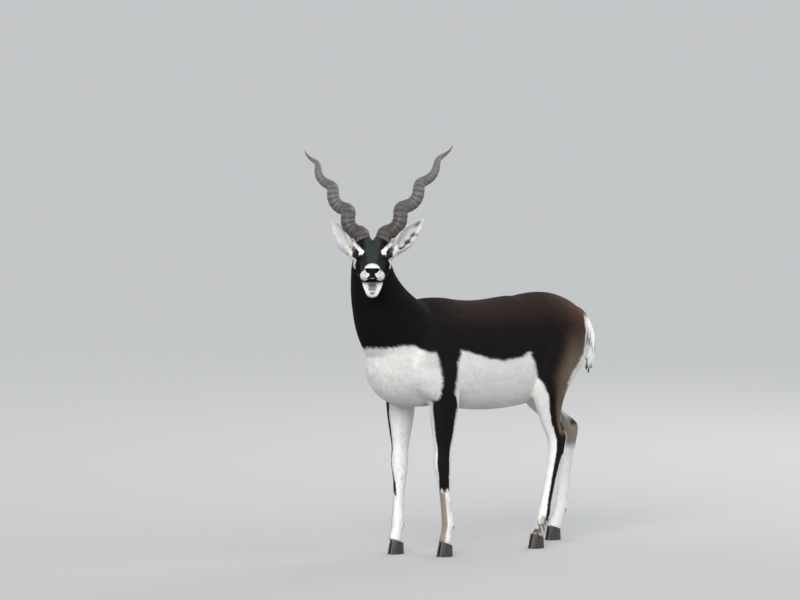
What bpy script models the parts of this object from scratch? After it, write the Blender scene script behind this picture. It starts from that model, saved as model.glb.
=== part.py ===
"""A blackbuck buck, life size, standing still with its head turned to its left.

Metres, +Z up. The animal faces -Y, so +X is its own left. Each form is a loft of rounded
sections along a limb or the spine. The lofts are fused into one body, whose joints are
smoothed, and thin cuts part that body into its named nodes.
"""

import math

import bmesh
import bpy
import numpy as np
from mathutils import Matrix, Vector

# Driving sizes
GAP = 0.0003
BODY_VOXEL = 0.0045
HEAD_VOXEL = 0.0022
BODY_TRIANGLES = 5200
HEAD_TRIANGLES = 2900
EYE_RADIUS = 0.0165
THROAT_MARGIN = 0.02
ROOT_SINK = {"horn": 0.004, "ear": 0.002}
TAIL_CUT_Y = 0.3905

TAIL_ROOT = Vector((0, 0.384, 0.705))

# The head looks up the line of sight: turned to the left, nose a little raised from there.
HEAD_TURN = math.radians(50.6)
HEAD_LIFT = math.radians(5)
HEAD_PLACE = Vector((0.079, -0.512, 0.9355))
HEAD = (
    Matrix.Translation(HEAD_PLACE)
    @ Matrix.Rotation(HEAD_TURN, 4, "Z")
    @ Matrix.Rotation(-HEAD_LIFT, 4, "X")
)
IN_HEAD = HEAD.inverted()

# Each leg: where its hoof stands, and how far its upper joints lie behind the plain stance.
ELBOW = (0.080, -0.238)
FORE_FEET = {"left": (0.073, -0.223), "right": (-0.078, -0.292)}
FORE_SHIFT = {"left": 0.006, "right": -0.034}
KNEE_SHIFT = {"left": -0.003, "right": 0.013}
FETLOCK_BACK = {"left": 0.009, "right": 0.005}
HIND_FEET = {"left": (0.074, 0.142), "right": (-0.073, 0.336)}

# Heights of the leg joints
KNEE_Z, HOCK_Z, FETLOCK_Z, CORONET_Z = 0.282, 0.330, 0.100, 0.040

COLOURS = {
    "coat_black": ((0.020, 0.016, 0.014), 0.75),
    "coat_brown": ((0.085, 0.050, 0.032), 0.8),
    "coat_white": ((0.80, 0.79, 0.76), 0.85),
    "horn": ((0.085, 0.075, 0.066), 0.55),
    "hoof": ((0.035, 0.030, 0.028), 0.4),
    "eye": ((0.010, 0.006, 0.004), 0.08),
}


def clear_scene():
    for obj in list(bpy.data.objects):
        bpy.data.objects.remove(obj, do_unlink=True)


def new_collection(name, helper=False):
    made = bpy.data.collections.new(name)
    bpy.context.scene.collection.children.link(made)
    made.hide_render = helper
    return made


def material(name):
    made = bpy.data.materials.get(name)
    if made:
        return made
    colour, roughness = COLOURS[name]
    made = bpy.data.materials.new(name)
    made.use_nodes = True
    shader = made.node_tree.nodes["Principled BSDF"]
    shader.inputs["Base Color"].default_value = (*colour, 1)
    shader.inputs["Roughness"].default_value = roughness
    shader.inputs["Metallic"].default_value = 0
    return made


def smooth_rows(rows, count):
    """Rows of numbers read from a Catmull-Rom curve through the given ones, spaced by the first three."""
    rows = np.array(rows, float)
    steps = np.linalg.norm(np.diff(rows[:, :3], axis=0), axis=1) ** 0.5
    knots = np.concatenate([[0], np.cumsum(steps)])
    slopes = np.gradient(rows, knots, axis=0)
    places = np.linspace(0, knots[-1], count)
    left = np.clip(np.searchsorted(knots, places, side="right") - 1, 0, len(rows) - 2)
    span = (knots[left + 1] - knots[left])[:, None]
    t = (places - knots[left])[:, None] / span
    return (
        (2 * t**3 - 3 * t**2 + 1) * rows[left]
        + (t**3 - 2 * t**2 + t) * span * slopes[left]
        + (3 * t**2 - 2 * t**3) * rows[left + 1]
        + (t**3 - t**2) * span * slopes[left + 1]
    )


def closed_loft(rings):
    """A mesh through rings of equal point counts, with its two ends filled."""
    mesh = bmesh.new()
    loops = [[mesh.verts.new(point) for point in ring] for ring in rings]
    for a, b in zip(loops, loops[1:]):
        for i in range(len(a)):
            j = (i + 1) % len(a)
            mesh.faces.new((a[i], a[j], b[j], b[i]))
    mesh.faces.new(reversed(loops[0]))
    mesh.faces.new(loops[-1])
    bmesh.ops.recalc_face_normals(mesh, faces=mesh.faces)
    return mesh


def limb(rows, count=28, sides=28, side_hint=(1, 0, 0), power=2.15):
    """A loft along a limb. A row is x, y, z, then the reach to the sides, ahead and behind."""
    rows = smooth_rows(rows, count)
    centres = rows[:, :3]
    tangents = np.gradient(centres, axis=0)
    angles = np.linspace(0, 2 * math.pi, sides, endpoint=False)
    c, s = np.cos(angles), np.sin(angles)
    across = np.sign(c) * np.abs(c) ** (2 / power)
    along = np.sign(s) * np.abs(s) ** (2 / power)
    rings = []
    for row, centre, tangent in zip(rows, centres, tangents):
        t = Vector(tangent).normalized()
        side = Vector(side_hint) - Vector(side_hint).dot(t) * t
        side.normalize()
        front = t.cross(side)
        reach, ahead, behind = np.maximum(row[3:6], 0.002)
        rings.append(
            [
                Vector(centre) + side * reach * a + front * (ahead if b > 0 else behind) * b
                for a, b in zip(across, along)
            ]
        )
    return closed_loft(rings)


def ball(centre, radii, turn=Matrix.Identity(4), segments=24):
    mesh = bmesh.new()
    shape = Matrix.Translation(Vector(centre)) @ turn @ Matrix.Diagonal((*radii, 1))
    bmesh.ops.create_uvsphere(mesh, u_segments=segments, v_segments=segments // 2, radius=1, matrix=shape)
    return mesh


def trunk():
    """From rump to breast: y, height of the widest line, half width, reach up, reach down."""
    stations = [
        (0.378, 0.655, 0.012, 0.020, 0.020),
        (0.366, 0.655, 0.048, 0.058, 0.055),
        (0.336, 0.655, 0.080, 0.095, 0.090),
        (0.285, 0.650, 0.098, 0.128, 0.125),
        (0.210, 0.638, 0.105, 0.152, 0.148),
        (0.130, 0.612, 0.109, 0.172, 0.168),
        (0.040, 0.600, 0.114, 0.176, 0.168),
        (-0.050, 0.600, 0.115, 0.172, 0.166),
        (-0.130, 0.605, 0.110, 0.172, 0.160),
        (-0.200, 0.610, 0.103, 0.178, 0.154),
        (-0.270, 0.606, 0.098, 0.178, 0.152),
        (-0.340, 0.600, 0.096, 0.155, 0.140),
        (-0.397, 0.597, 0.084, 0.120, 0.116),
        (-0.434, 0.597, 0.057, 0.078, 0.074),
        (-0.452, 0.598, 0.022, 0.035, 0.030),
    ]
    rows = [(0, y, z, half, up, down) for y, z, half, up, down in stations]
    return limb(rows, 44, 40, power=2.1)


def neck():
    """From breast to head: the fourth to sixth numbers reach to the sides, nape and throat."""
    rows = [
        (0, -0.225, 0.620, 0.078, 0.105, 0.112),
        (0, -0.322, 0.672, 0.095, 0.118, 0.134),
        (0, -0.386, 0.735, 0.089, 0.102, 0.117),
        (0.000, -0.427, 0.800, 0.077, 0.084, 0.087),
        (0.004, -0.450, 0.862, 0.065, 0.067, 0.068),
        (0.014, -0.460, 0.910, 0.056, 0.056, 0.060),
        (0.028, -0.462, 0.942, 0.044, 0.044, 0.044),
    ]
    return limb(rows, 30, 36)


def shoulder(sign):
    """The shoulder blade down to the point of the shoulder, and the upper arm back to the elbow."""
    blade = [
        (0.024 * sign, -0.180, 0.745, 0.018, 0.034, 0.034),
        (0.050 * sign, -0.215, 0.705, 0.033, 0.058, 0.058),
        (0.066 * sign, -0.262, 0.655, 0.040, 0.066, 0.068),
        (0.074 * sign, -0.315, 0.605, 0.038, 0.052, 0.060),
        (0.072 * sign, -0.345, 0.565, 0.028, 0.032, 0.038),
    ]
    upper_arm = [
        (0.074 * sign, -0.350, 0.600, 0.030, 0.032, 0.032),
        (0.078 * sign, -0.312, 0.560, 0.039, 0.050, 0.050),
        (0.080 * sign, -0.270, 0.525, 0.038, 0.050, 0.050),
        (0.080 * sign, -0.244, 0.495, 0.032, 0.036, 0.038),
    ]
    return [limb(blade, 20, 24), limb(upper_arm, 18, 24)]


def fore_line(side):
    """Heights and places of the foreleg's line: shoulder, elbow, knee, fetlock, sole."""
    foot_x, foot_y = FORE_FEET[side]
    elbow_x = ELBOW[0] if side == "left" else -ELBOW[0]
    elbow_y = ELBOW[1] + FORE_SHIFT[side]
    heights = (0.60, 0.50, KNEE_Z, FETLOCK_Z, 0.0)
    line_x = (elbow_x, elbow_x, elbow_x * 0.35 + foot_x * 0.65, foot_x, foot_x)
    knee_y = elbow_y * 0.45 + foot_y * 0.55 - 0.006 + KNEE_SHIFT[side]
    fetlock_y = foot_y + FETLOCK_BACK[side]
    line_y = (elbow_y - 0.010, elbow_y, knee_y, fetlock_y, foot_y - 0.012)
    return heights, line_x, line_y


def foreleg(side):
    """From inside the shoulder to below the coronet: height, then reach to the sides, front and back."""
    foot_x, foot_y = FORE_FEET[side]
    heights, line_x, line_y = fore_line(side)
    sections = [
        (0.585, 0.036, 0.048, 0.048),
        (0.530, 0.038, 0.050, 0.054),
        (0.480, 0.038, 0.050, 0.051),
        (0.435, 0.036, 0.046, 0.046),
        (0.380, 0.031, 0.037, 0.036),
        (0.330, 0.0250, 0.0285, 0.0270),
        (0.300, 0.0250, 0.0290, 0.0245),
        (0.275, 0.0254, 0.0292, 0.0242),
        (0.250, 0.0222, 0.0245, 0.0236),
        (0.220, 0.0182, 0.0195, 0.0212),
        (0.175, 0.0164, 0.0174, 0.0198),
        (0.130, 0.0168, 0.0178, 0.0202),
        (0.102, 0.0192, 0.0188, 0.0216),
        (0.076, 0.0172, 0.0165, 0.0180),
        (0.052, 0.0188, 0.0192, 0.0190),
        (0.020, 0.0190, 0.0215, 0.0190),
    ]
    rows = leg_rows(sections, heights, line_x, line_y)
    claw_y, claw = line_y[3] + 0.017, (0.0058, 0.0060, 0.0085)
    dewclaws = [ball((foot_x + off, claw_y, 0.088), claw) for off in (-0.0105, 0.0105)]
    point_of_elbow = ball((line_x[1], line_y[1] + 0.046, 0.520), (0.018, 0.020, 0.026))
    return [limb(rows, 60, 24, power=2.2), point_of_elbow, *dewclaws]


def leg_rows(sections, heights, line_x, line_y):
    """Sections given by height, placed on the line of the leg."""
    order = np.argsort(heights)
    up, xs, ys = (np.array(v, float)[order] for v in (heights, line_x, line_y))
    return [(np.interp(z, up, xs), np.interp(z, up, ys), z, *reaches) for z, *reaches in sections]


def hind_line(side):
    """Heights and places of the hind leg's line: hip, thigh, stifle, shank, hock, fetlock, sole."""
    foot_x, foot_y = HIND_FEET[side]
    sign = 1 if side == "left" else -1
    heights = (0.72, 0.62, 0.53, 0.45, 0.385, HOCK_Z, 0.295, FETLOCK_Z, 0.0)
    line_x = [v * sign for v in (0.048, 0.072, 0.082, 0.080, 0.076, 0.074, 0.074, 0.074, 0.074)]
    if side == "left":
        line_y = (0.262, 0.240, 0.198, 0.190, 0.202, 0.219, 0.217, foot_y + 0.028, foot_y - 0.014)
    else:
        line_y = (0.275, 0.272, 0.256, 0.295, 0.354, 0.395, 0.391, foot_y + 0.030, foot_y - 0.012)
    return heights, line_x, line_y


def hindleg(side):
    """The thigh, shank and cannon as one loft, with the tendon down to the point of the hock as another."""
    heights, line_x, line_y = hind_line(side)
    sections = [
        (0.735, 0.022, 0.045, 0.045),
        (0.690, 0.040, 0.078, 0.076),
        (0.640, 0.048, 0.094, 0.092),
        (0.600, 0.050, 0.099, 0.097),
        (0.560, 0.046, 0.092, 0.083),
        (0.510, 0.040, 0.080, 0.066),
        (0.465, 0.034, 0.064, 0.050),
        (0.425, 0.028, 0.049, 0.038),
        (0.385, 0.0235, 0.0365, 0.0290),
        (0.350, 0.0218, 0.0280, 0.0310),
        (0.322, 0.0218, 0.0255, 0.0335),
        (0.292, 0.0202, 0.0220, 0.0310),
        (0.260, 0.0180, 0.0188, 0.0280),
        (0.200, 0.0164, 0.0168, 0.0240),
        (0.138, 0.0170, 0.0172, 0.0232),
        (0.104, 0.0198, 0.0190, 0.0245),
        (0.077, 0.0178, 0.0168, 0.0195),
        (0.052, 0.0200, 0.0205, 0.0210),
        (0.020, 0.0210, 0.0240, 0.0200),
    ]
    rows = leg_rows(sections, heights, line_x, line_y)
    order = np.argsort(heights)
    up, xs, ys = (np.array(v, float)[order] for v in (heights, line_x, line_y))
    hock_x, hock_y = np.interp(HOCK_Z, up, xs), np.interp(HOCK_Z, up, ys)
    tendon = [
        (hock_x, hock_y + 0.018, 0.305, 0.0120, 0.012, 0.012),
        (hock_x, hock_y + 0.028, 0.338, 0.0125, 0.013, 0.013),
        (hock_x, hock_y + 0.026, 0.358, 0.0105, 0.011, 0.011),
        (np.interp(0.40, up, xs), np.interp(0.40, up, ys) + 0.029, 0.400, 0.0075, 0.009, 0.009),
        (np.interp(0.45, up, xs), np.interp(0.45, up, ys) + 0.038, 0.450, 0.0120, 0.015, 0.015),
        (np.interp(0.50, up, xs), np.interp(0.50, up, ys) + 0.044, 0.500, 0.0200, 0.020, 0.020),
    ]
    foot_x, foot_y = HIND_FEET[side]
    dewclaws = [
        ball((foot_x + off, foot_y + 0.040, 0.089), (0.0058, 0.0060, 0.0085)) for off in (-0.0105, 0.0105)
    ]
    return [limb(rows, 64, 26, power=2.2), limb(tendon, 20, 16, power=2), *dewclaws]


def skull():
    """The head in its own frame: y, height, half width, reach up and reach down."""
    upper = [
        (0.100, -0.012, 0.020, 0.022, 0.025),
        (0.082, -0.012, 0.038, 0.046, 0.048),
        (0.055, -0.016, 0.045, 0.060, 0.058),
        (0.030, -0.020, 0.046, 0.058, 0.062),
        (0.000, -0.026, 0.043, 0.050, 0.056),
        (-0.030, -0.034, 0.0365, 0.041, 0.044),
        (-0.060, -0.042, 0.0300, 0.031, 0.034),
        (-0.080, -0.047, 0.0265, 0.026, 0.029),
        (-0.100, -0.051, 0.0245, 0.022, 0.025),
        (-0.118, -0.054, 0.0230, 0.020, 0.020),
        (-0.131, -0.056, 0.0190, 0.016, 0.017),
        (-0.138, -0.058, 0.0100, 0.009, 0.010),
    ]
    jaw = [
        (0.066, -0.050, 0.018, 0.020, 0.020),
        (0.045, -0.058, 0.034, 0.034, 0.032),
        (0.015, -0.066, 0.037, 0.030, 0.033),
        (-0.015, -0.079, 0.0345, 0.022, 0.026),
        (-0.042, -0.092, 0.0300, 0.013, 0.021),
        (-0.066, -0.105, 0.0250, 0.0085, 0.0170),
        (-0.087, -0.116, 0.0200, 0.0075, 0.0145),
        (-0.100, -0.121, 0.0160, 0.0070, 0.0120),
        (-0.108, -0.123, 0.0085, 0.0045, 0.0055),
    ]
    lip = [
        (0.024, -0.020, -0.062, 0.016, 0.018, 0.018),
        (0.025, -0.050, -0.064, 0.0135, 0.016, 0.016),
        (0.023, -0.078, -0.068, 0.0120, 0.0135, 0.0135),
        (0.0175, -0.104, -0.069, 0.0105, 0.0110, 0.0110),
        (0.0100, -0.124, -0.067, 0.0085, 0.0085, 0.0085),
        (0.0040, -0.130, -0.066, 0.0050, 0.0050, 0.0050),
    ]
    forms = [limb([(0, *row) for row in upper], 40, 32, power=2.3)]
    forms.append(limb([(0, *row) for row in jaw], 34, 28, power=2.2))
    for sign in (1, -1):
        forms.append(ball((0.031 * sign, 0.022, -0.045), (0.019, 0.036, 0.034)))
        forms.append(ball((0.036 * sign, 0.006, 0.004), (0.019, 0.027, 0.021)))
        forms.append(ball((0.0385 * sign, 0.017, -0.031), (0.0185, 0.034, 0.024)))
        forms.append(limb(pedicle_rows(sign), 12, 20))
        forms.append(limb(ear_root_rows(sign), 12, 20))
        forms.append(ball((0.0475 * sign, 0.056, 0.023), (0.016, 0.022, 0.017)))
        forms.append(limb([(x * sign, *row) for x, *row in lip], 24, 14, power=2))
        forms.append(ball((0.0140 * sign, -0.121, -0.050), (0.0115, 0.014, 0.012)))
    for form in forms:
        bmesh.ops.transform(form, matrix=HEAD, verts=form.verts)
    return forms


# Horn and ear roots, in the head's frame, for the left side
HORN_ROOT = Vector((0.027, 0.036, 0.038))
HORN_TIPS = {"left": Vector((0.238, 0.262, 0.338)), "right": Vector((0.204, 0.262, 0.322))}
HORN_RADIUS = 0.0225
EAR_ROOT = {"left": Vector((0.062, 0.069, 0.010)), "right": Vector((0.060, 0.071, 0.008))}
EAR_TIP = {"left": Vector((0.154, 0.092, 0.107)), "right": Vector((0.128, 0.114, 0.103))}
EAR_FACING = {"left": Vector((0.20, -0.97, 0.05)), "right": Vector((0.55, -0.83, -0.10))}


def pedicle_rows(sign):
    root, tip = HORN_ROOT.copy(), HORN_TIPS["left" if sign > 0 else "right"].copy()
    root.x, tip.x = root.x * sign, tip.x * sign
    way = (tip - root).normalized()
    sizes = ((-0.035, 0.020), (-0.010, 0.0235), (0.006, 0.0230), (0.020, 0.0225))
    return [(*(root + way * d), r, r, r) for d, r in sizes]


def ear_root_rows(sign):
    side = "left" if sign > 0 else "right"
    root, tip = EAR_ROOT[side].copy(), EAR_TIP[side].copy()
    root.x, tip.x = root.x * sign, tip.x * sign
    way = (tip - root).normalized()
    sizes = ((-0.030, 0.014), (-0.012, 0.0165), (0.004, 0.0160), (0.014, 0.0150))
    return [(*(root + way * d), r, r, r) for d, r in sizes]


def fused(name, forms, voxel, helpers):
    """One object whose closed forms are fused by a voxel remesh."""
    whole = bmesh.new()
    for form in forms:
        scrap = bpy.data.meshes.new("form")
        form.to_mesh(scrap)
        form.free()
        whole.from_mesh(scrap)
        bpy.data.meshes.remove(scrap)
    mesh = bpy.data.meshes.new(name)
    whole.to_mesh(mesh)
    whole.free()
    obj = bpy.data.objects.new(name, mesh)
    helpers.objects.link(obj)
    remesh = obj.modifiers.new("fuse", "REMESH")
    remesh.mode = "VOXEL"
    remesh.voxel_size = voxel
    return baked(obj)


def baked(obj):
    """The object with its modifiers applied to a mesh of its own."""
    graph = bpy.context.evaluated_depsgraph_get()
    mesh = bpy.data.meshes.new_from_object(obj.evaluated_get(graph))
    obj.modifiers.clear()
    obj.data = mesh
    return obj


# Where limbs run into the body the fused surface is eased: place, reach and strength.
def joint_zones():
    zones = [
        ((0, -0.33, 0.66), 0.17, 1.0),
        ((0, -0.20, 0.79), 0.12, 1.0),
        ((0, 0.34, 0.66), 0.10, 1.0),
        ((0.02, -0.43, 0.93), 0.07, 0.9),
    ]
    for side, sign in (("left", 1), ("right", -1)):
        zones.append(((0.09 * sign, -0.24, 0.62), 0.17, 1.0))
        zones.append(((0.07 * sign, -0.35, 0.61), 0.13, 1.0))
        zones.append(((0.07 * sign, -0.24, 0.47), 0.07, 0.9))
        zones.append(((0.09 * sign, 0.24, 0.66), 0.17, 1.0))
        zones.append(((0.06 * sign, 0.20, 0.50), 0.08, 0.9))
    return zones


def ease(obj, zones, base, repeat):
    """Smooths the surface, strongly inside the zones and by the base share elsewhere."""
    count = len(obj.data.vertices)
    places = np.empty(count * 3, np.float32)
    obj.data.vertices.foreach_get("co", places)
    places = places.reshape(-1, 3)
    weight = np.full(count, base)
    for centre, reach, strength in zones:
        near = 1 - np.linalg.norm(places - np.array(centre), axis=1) / reach
        near = np.clip(near * 1.6, 0, 1)
        weight = np.maximum(weight, strength * near * near * (3 - 2 * near))
    group = obj.vertex_groups.new(name="ease")
    for level in range(1, 11):
        chosen = np.nonzero(np.round(weight * 10) == level)[0]
        group.add(chosen.tolist(), level / 10, "REPLACE")
    smooth = obj.modifiers.new("ease", "SMOOTH")
    smooth.vertex_group = "ease"
    smooth.factor = 0.5
    smooth.iterations = repeat
    baked(obj)
    obj.vertex_groups.clear()


def press(obj, dents):
    """Pushes the surface round places of the head: place, reach, and the push itself."""
    for vert in obj.data.vertices:
        local = IN_HEAD @ vert.co
        moved = Vector((0, 0, 0))
        for place, reach, push in dents:
            off = Vector(((local[i] - place[i]) / reach[i] for i in range(3))).length_squared
            if off < 6:
                moved += Vector(push) * math.exp(-off)
        if moved.length > 1e-6:
            vert.co = HEAD @ (local + moved)


def face_dents():
    """Nostrils and the groove between them, and the hollows of the brow, lips and eyes."""
    dents = [
        ((0, -0.138, -0.060), (0.0022, 0.008, 0.012), (0, 0.0035, 0)),
        ((0, -0.060, 0.002), (0.016, 0.030, 0.012), (0, 0, -0.002)),
    ]
    for sign in (1, -1):
        dents += [
            ((0.0135 * sign, -0.134, -0.051), (0.0050, 0.006, 0.0040), (-0.001 * sign, 0.010, 0.001)),
            ((0.0180 * sign, -0.126, -0.047), (0.0050, 0.006, 0.0035), (0.001 * sign, 0, 0.001)),
            ((0.041 * sign, -0.034, -0.016), (0.010, 0.012, 0.007), (-0.004 * sign, 0, 0)),
            ((0.030 * sign, -0.088, -0.056), (0.008, 0.024, 0.004), (-0.0022 * sign, 0, 0)),
        ]
    return dents


def thinned(obj, triangles):
    obj.data.calc_loop_triangles()
    reduce = obj.modifiers.new("thin", "DECIMATE")
    reduce.ratio = min(1.0, triangles / len(obj.data.loop_triangles))
    return baked(obj)


def convex(name, planes, helpers, grow=0.0, size=3.0):
    """A closed cutter: the space behind every plane, each a point and an outward normal."""
    mesh = bmesh.new()
    bmesh.ops.create_cube(mesh, size=size)
    for point, normal in planes:
        normal = Vector(normal).normalized()
        kept = bmesh.ops.bisect_plane(
            mesh,
            geom=mesh.verts[:] + mesh.edges[:] + mesh.faces[:],
            plane_co=Vector(point) + normal * grow,
            plane_no=normal,
            clear_outer=True,
        )
        rim = [e for e in kept["geom_cut"] if isinstance(e, bmesh.types.BMEdge)]
        bmesh.ops.contextual_create(mesh, geom=rim)
    bmesh.ops.triangulate(mesh, faces=mesh.faces)
    bmesh.ops.recalc_face_normals(mesh, faces=mesh.faces)
    data = bpy.data.meshes.new(name)
    mesh.to_mesh(data)
    mesh.free()
    return helper_object(name, data, helpers)


def helper_object(name, data, helpers):
    obj = bpy.data.objects.new(name, data)
    obj.hide_render = True
    obj.display_type = "WIRE"
    helpers.objects.link(obj)
    return obj


def boolean(obj, other, operation):
    cut = obj.modifiers.new(operation.lower(), "BOOLEAN")
    cut.operation = operation
    cut.solver = "EXACT"
    cut.object = other


def largest_piece(mesh):
    """Keeps the largest closed surface of a mesh and drops the rest."""
    work = bmesh.new()
    work.from_mesh(mesh)
    left = set(work.verts)
    pieces = []
    while left:
        piece, border = set(), [left.pop()]
        while border:
            vert = border.pop()
            piece.add(vert)
            for edge in vert.link_edges:
                other = edge.other_vert(vert)
                if other in left:
                    left.remove(other)
                    border.append(other)
        pieces.append(piece)
    keep = max(pieces, key=len)
    bmesh.ops.delete(work, geom=[v for v in work.verts if v not in keep], context="VERTS")
    work.to_mesh(mesh)
    work.free()


def node(name, source, cuts, finish, parts):
    """A named node: the source mesh with its cuts applied."""
    obj = bpy.data.objects.new(name, source.data.copy())
    parts.objects.link(obj)
    for other, operation in cuts:
        boolean(obj, other, operation)
    baked(obj)
    largest_piece(obj.data)
    obj.data.materials.clear()
    obj.data.materials.append(material(finish))
    obj.data.shade_smooth()
    obj.data.set_sharp_from_angle(angle=math.radians(50))
    return obj


def simple_node(name, mesh, finish, parts):
    bmesh.ops.triangulate(mesh, faces=mesh.faces)
    bmesh.ops.recalc_face_normals(mesh, faces=mesh.faces)
    data = bpy.data.meshes.new(name)
    mesh.to_mesh(data)
    mesh.free()
    obj = bpy.data.objects.new(name, data)
    parts.objects.link(obj)
    data.materials.append(material(finish))
    data.shade_smooth()
    data.set_sharp_from_angle(angle=math.radians(50))
    return obj


def in_head(point, direction=False):
    """A point or a direction of the head's frame, in the body's frame."""
    turned = HEAD.to_3x3() @ Vector(point)
    return turned if direction else turned + HEAD.translation


def horn(side, grow=0.0):
    """A corkscrew on a straight axis: its turns narrow and its rings fade towards the tip."""
    sign = 1 if side == "left" else -1
    turns, phase, rings, sides = 3.8, math.radians(96), 26, 10
    swing, bare_from = 0.0122, 0.80
    axis = HORN_TIPS[side] - HORN_ROOT
    length = axis.length
    way = axis.normalized()
    inner = (Vector((-1, 0, 0)) - Vector((-1, 0, 0)).dot(way) * way).normalized()
    front = way.cross(inner)
    steps = rings * 2
    centres, radii = [], []
    for i in range(steps + 1):
        t = i / steps
        turn = phase - 2 * math.pi * turns * t
        offset = swing * (1 - 0.55 * t) * min(1, t * 9)
        bulge = inner * math.cos(turn) + front * math.sin(turn)
        centre = HORN_ROOT + way * (length * t) + bulge * offset
        girth = HORN_RADIUS * (1 - t**2.1) ** 0.80
        ridge = 1 + 0.055 * (-1) ** i * max(0.0, min(1.0, (bare_from - t) * 6))
        centres.append(Vector((centre.x * sign, centre.y, centre.z)))
        radii.append(max(girth * ridge, 0.0016))
    mesh_rings = []
    for i, (centre, radius) in enumerate(zip(centres, radii)):
        ahead, behind = centres[min(i + 1, steps)], centres[max(i - 1, 0)]
        t = (ahead - behind).normalized() if i else Vector((way.x * sign, way.y, way.z))
        across = Vector((0, 1, 0)) - Vector((0, 1, 0)).dot(t) * t
        across.normalize()
        other = t.cross(across)
        mesh_rings.append(
            [
                in_head(centre + (across * math.cos(a) + other * math.sin(a)) * (radius + grow))
                for a in np.linspace(0, 2 * math.pi, sides, endpoint=False)
            ]
        )
    return closed_loft(mesh_rings)


def horn_plane(sign):
    root, tip = HORN_ROOT.copy(), HORN_TIPS["left" if sign > 0 else "right"].copy()
    way = (tip - root).normalized()
    return Vector((root.x * sign, root.y, root.z)), Vector((way.x * sign, way.y, way.z))


def ear_frame(side):
    sign = 1 if side == "left" else -1
    root, tip, face = EAR_ROOT[side].copy(), EAR_TIP[side].copy(), EAR_FACING[side].copy()
    for v in (root, tip, face):
        v.x *= sign
    way = (tip - root).normalized()
    face = (face - face.dot(way) * way).normalized()
    return root, tip, way, face, way.cross(face)


def ear(side):
    """A leaf-shaped cup: each section is an arc of even thickness, nearly closed at the root."""
    root, tip, way, face, across = ear_frame(side)
    length = (tip - root).length
    stations, arc_points, wall = 13, 9, 0.0030
    rings = []
    for i in range(stations):
        t = i / (stations - 1)
        width = (0.0125 + 0.0125 * math.sin(math.pi * t**0.85)) * math.sqrt(1 - t**3.5) + 0.0012
        opening = math.radians(158 - 96 * t**0.75)
        depth = width * (0.95 - 0.55 * t)
        thick = min(wall, width * 0.4)
        centre = root + way * (length * t) + face * (0.010 * math.sin(math.pi * t) - 0.012 * t)
        angles = np.linspace(-opening, opening, arc_points)
        outer = [centre + across * math.sin(a) * width - face * math.cos(a) * depth for a in angles]
        narrow, shallow = width - thick, depth - thick
        inside = [
            centre + across * math.sin(a) * narrow - face * (math.cos(a) * shallow - 0.0004)
            for a in angles[::-1]
        ]
        rings.append([in_head(p) for p in outer + inside])
    return closed_loft(rings)


def eye_centre(sign):
    return Vector((0.0445 * sign, 0.002, 0.001))


def eyelids(sign):
    """The rim of both lids round the eye."""
    looks = Vector((0.90 * sign, -0.40, 0.10)).normalized()
    forward = (Vector((0, -1, -0.30)) - Vector((0, -1, -0.30)).dot(looks) * looks).normalized()
    up = looks.cross(forward) * (1 if sign > 0 else -1)
    centre = eye_centre(sign) + looks * 0.0100
    long_half, short_half, rim = 0.0150, 0.0112, 0.0036
    points = []
    for a in np.linspace(0, 2 * math.pi, 33):
        place = centre + forward * long_half * math.cos(a) + up * short_half * math.sin(a)
        points.append((*place, rim, rim, rim))
    form = limb(points, 60, 10, side_hint=looks, power=2)
    bmesh.ops.transform(form, matrix=HEAD, verts=form.verts)
    return form


def hoof(side_x, foot_x, foot_y):
    """One claw: pointed in front, rounded at the heel, its top on the coronet's slope."""
    points, levels = 12, 4
    centre_x = foot_x + side_x * 0.0105
    rings = []
    for k in range(levels):
        t = k / (levels - 1)
        half = 0.0098 - 0.0010 * t
        toe, heel = 0.029 - 0.011 * t, 0.0205 - 0.0015 * t
        ring = []
        for a in np.linspace(0, 2 * math.pi, points, endpoint=False):
            ahead = math.cos(a)
            towards_toe = max(ahead, 0)
            narrowing = 1 - 0.45 * towards_toe**2
            x = centre_x + half * math.sin(a) * narrowing - side_x * 0.004 * towards_toe**2
            y = foot_y - (toe if ahead > 0 else heel) * ahead
            top = coronet_height(y, foot_y) - GAP
            rise = 0.0025 * towards_toe**3
            ring.append(Vector((x, y, (0.0 if k == 0 else rise * (1 - t)) + top * t)))
        rings.append(ring)
    return closed_loft(rings)


CORONET_SLOPE = 0.36


def coronet_height(y, foot_y):
    return CORONET_Z - CORONET_SLOPE * (y - foot_y)


def coronet_plane(foot, grow=0.0):
    return (foot[0], foot[1], CORONET_Z), (0, CORONET_SLOPE, 1)


def tail():
    """The dock as a tapering tube, with long locks fused round it that hang past its end."""
    dock = limb(tail_rows(TAIL_ROOT), 10, 10)
    pieces = [dock]
    generator = np.random.default_rng(7)
    for tier in range(4):
        for k in range(5):
            t = 0.22 + 0.22 * tier
            spread = (k - 2) / 2
            off = Vector((0.010 * spread * (1 - 0.5 * t), 0.004 * (1 - abs(spread)), 0))
            start = tail_point(TAIL_ROOT, t) + off
            sag = 0.042 + 0.014 * generator.random()
            end = start + Vector((0.016 * spread * (1 - t), 0.008 - 0.010 * abs(spread), -sag))
            pieces.append(lock(start, end, 0.0075 - 0.002 * t))
    return pieces


def tail_point(root, t):
    out, drop = 0.040, 0.135
    return root + Vector((0, out * math.sin(math.pi * min(t * 0.85, 1)) + 0.004, -drop * t))


def tail_rows(root):
    return [
        (*(root + Vector((0, -0.045, 0.020))), 0.020, 0.016, 0.016),
        (*(root + Vector((0, -0.008, 0.008))), 0.018, 0.014, 0.014),
        (*tail_point(root, 0.22), 0.014, 0.011, 0.011),
        (*tail_point(root, 0.55), 0.012, 0.009, 0.009),
        (*tail_point(root, 0.85), 0.009, 0.006, 0.006),
        (*tail_point(root, 1.02), 0.004, 0.003, 0.003),
    ]


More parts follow.
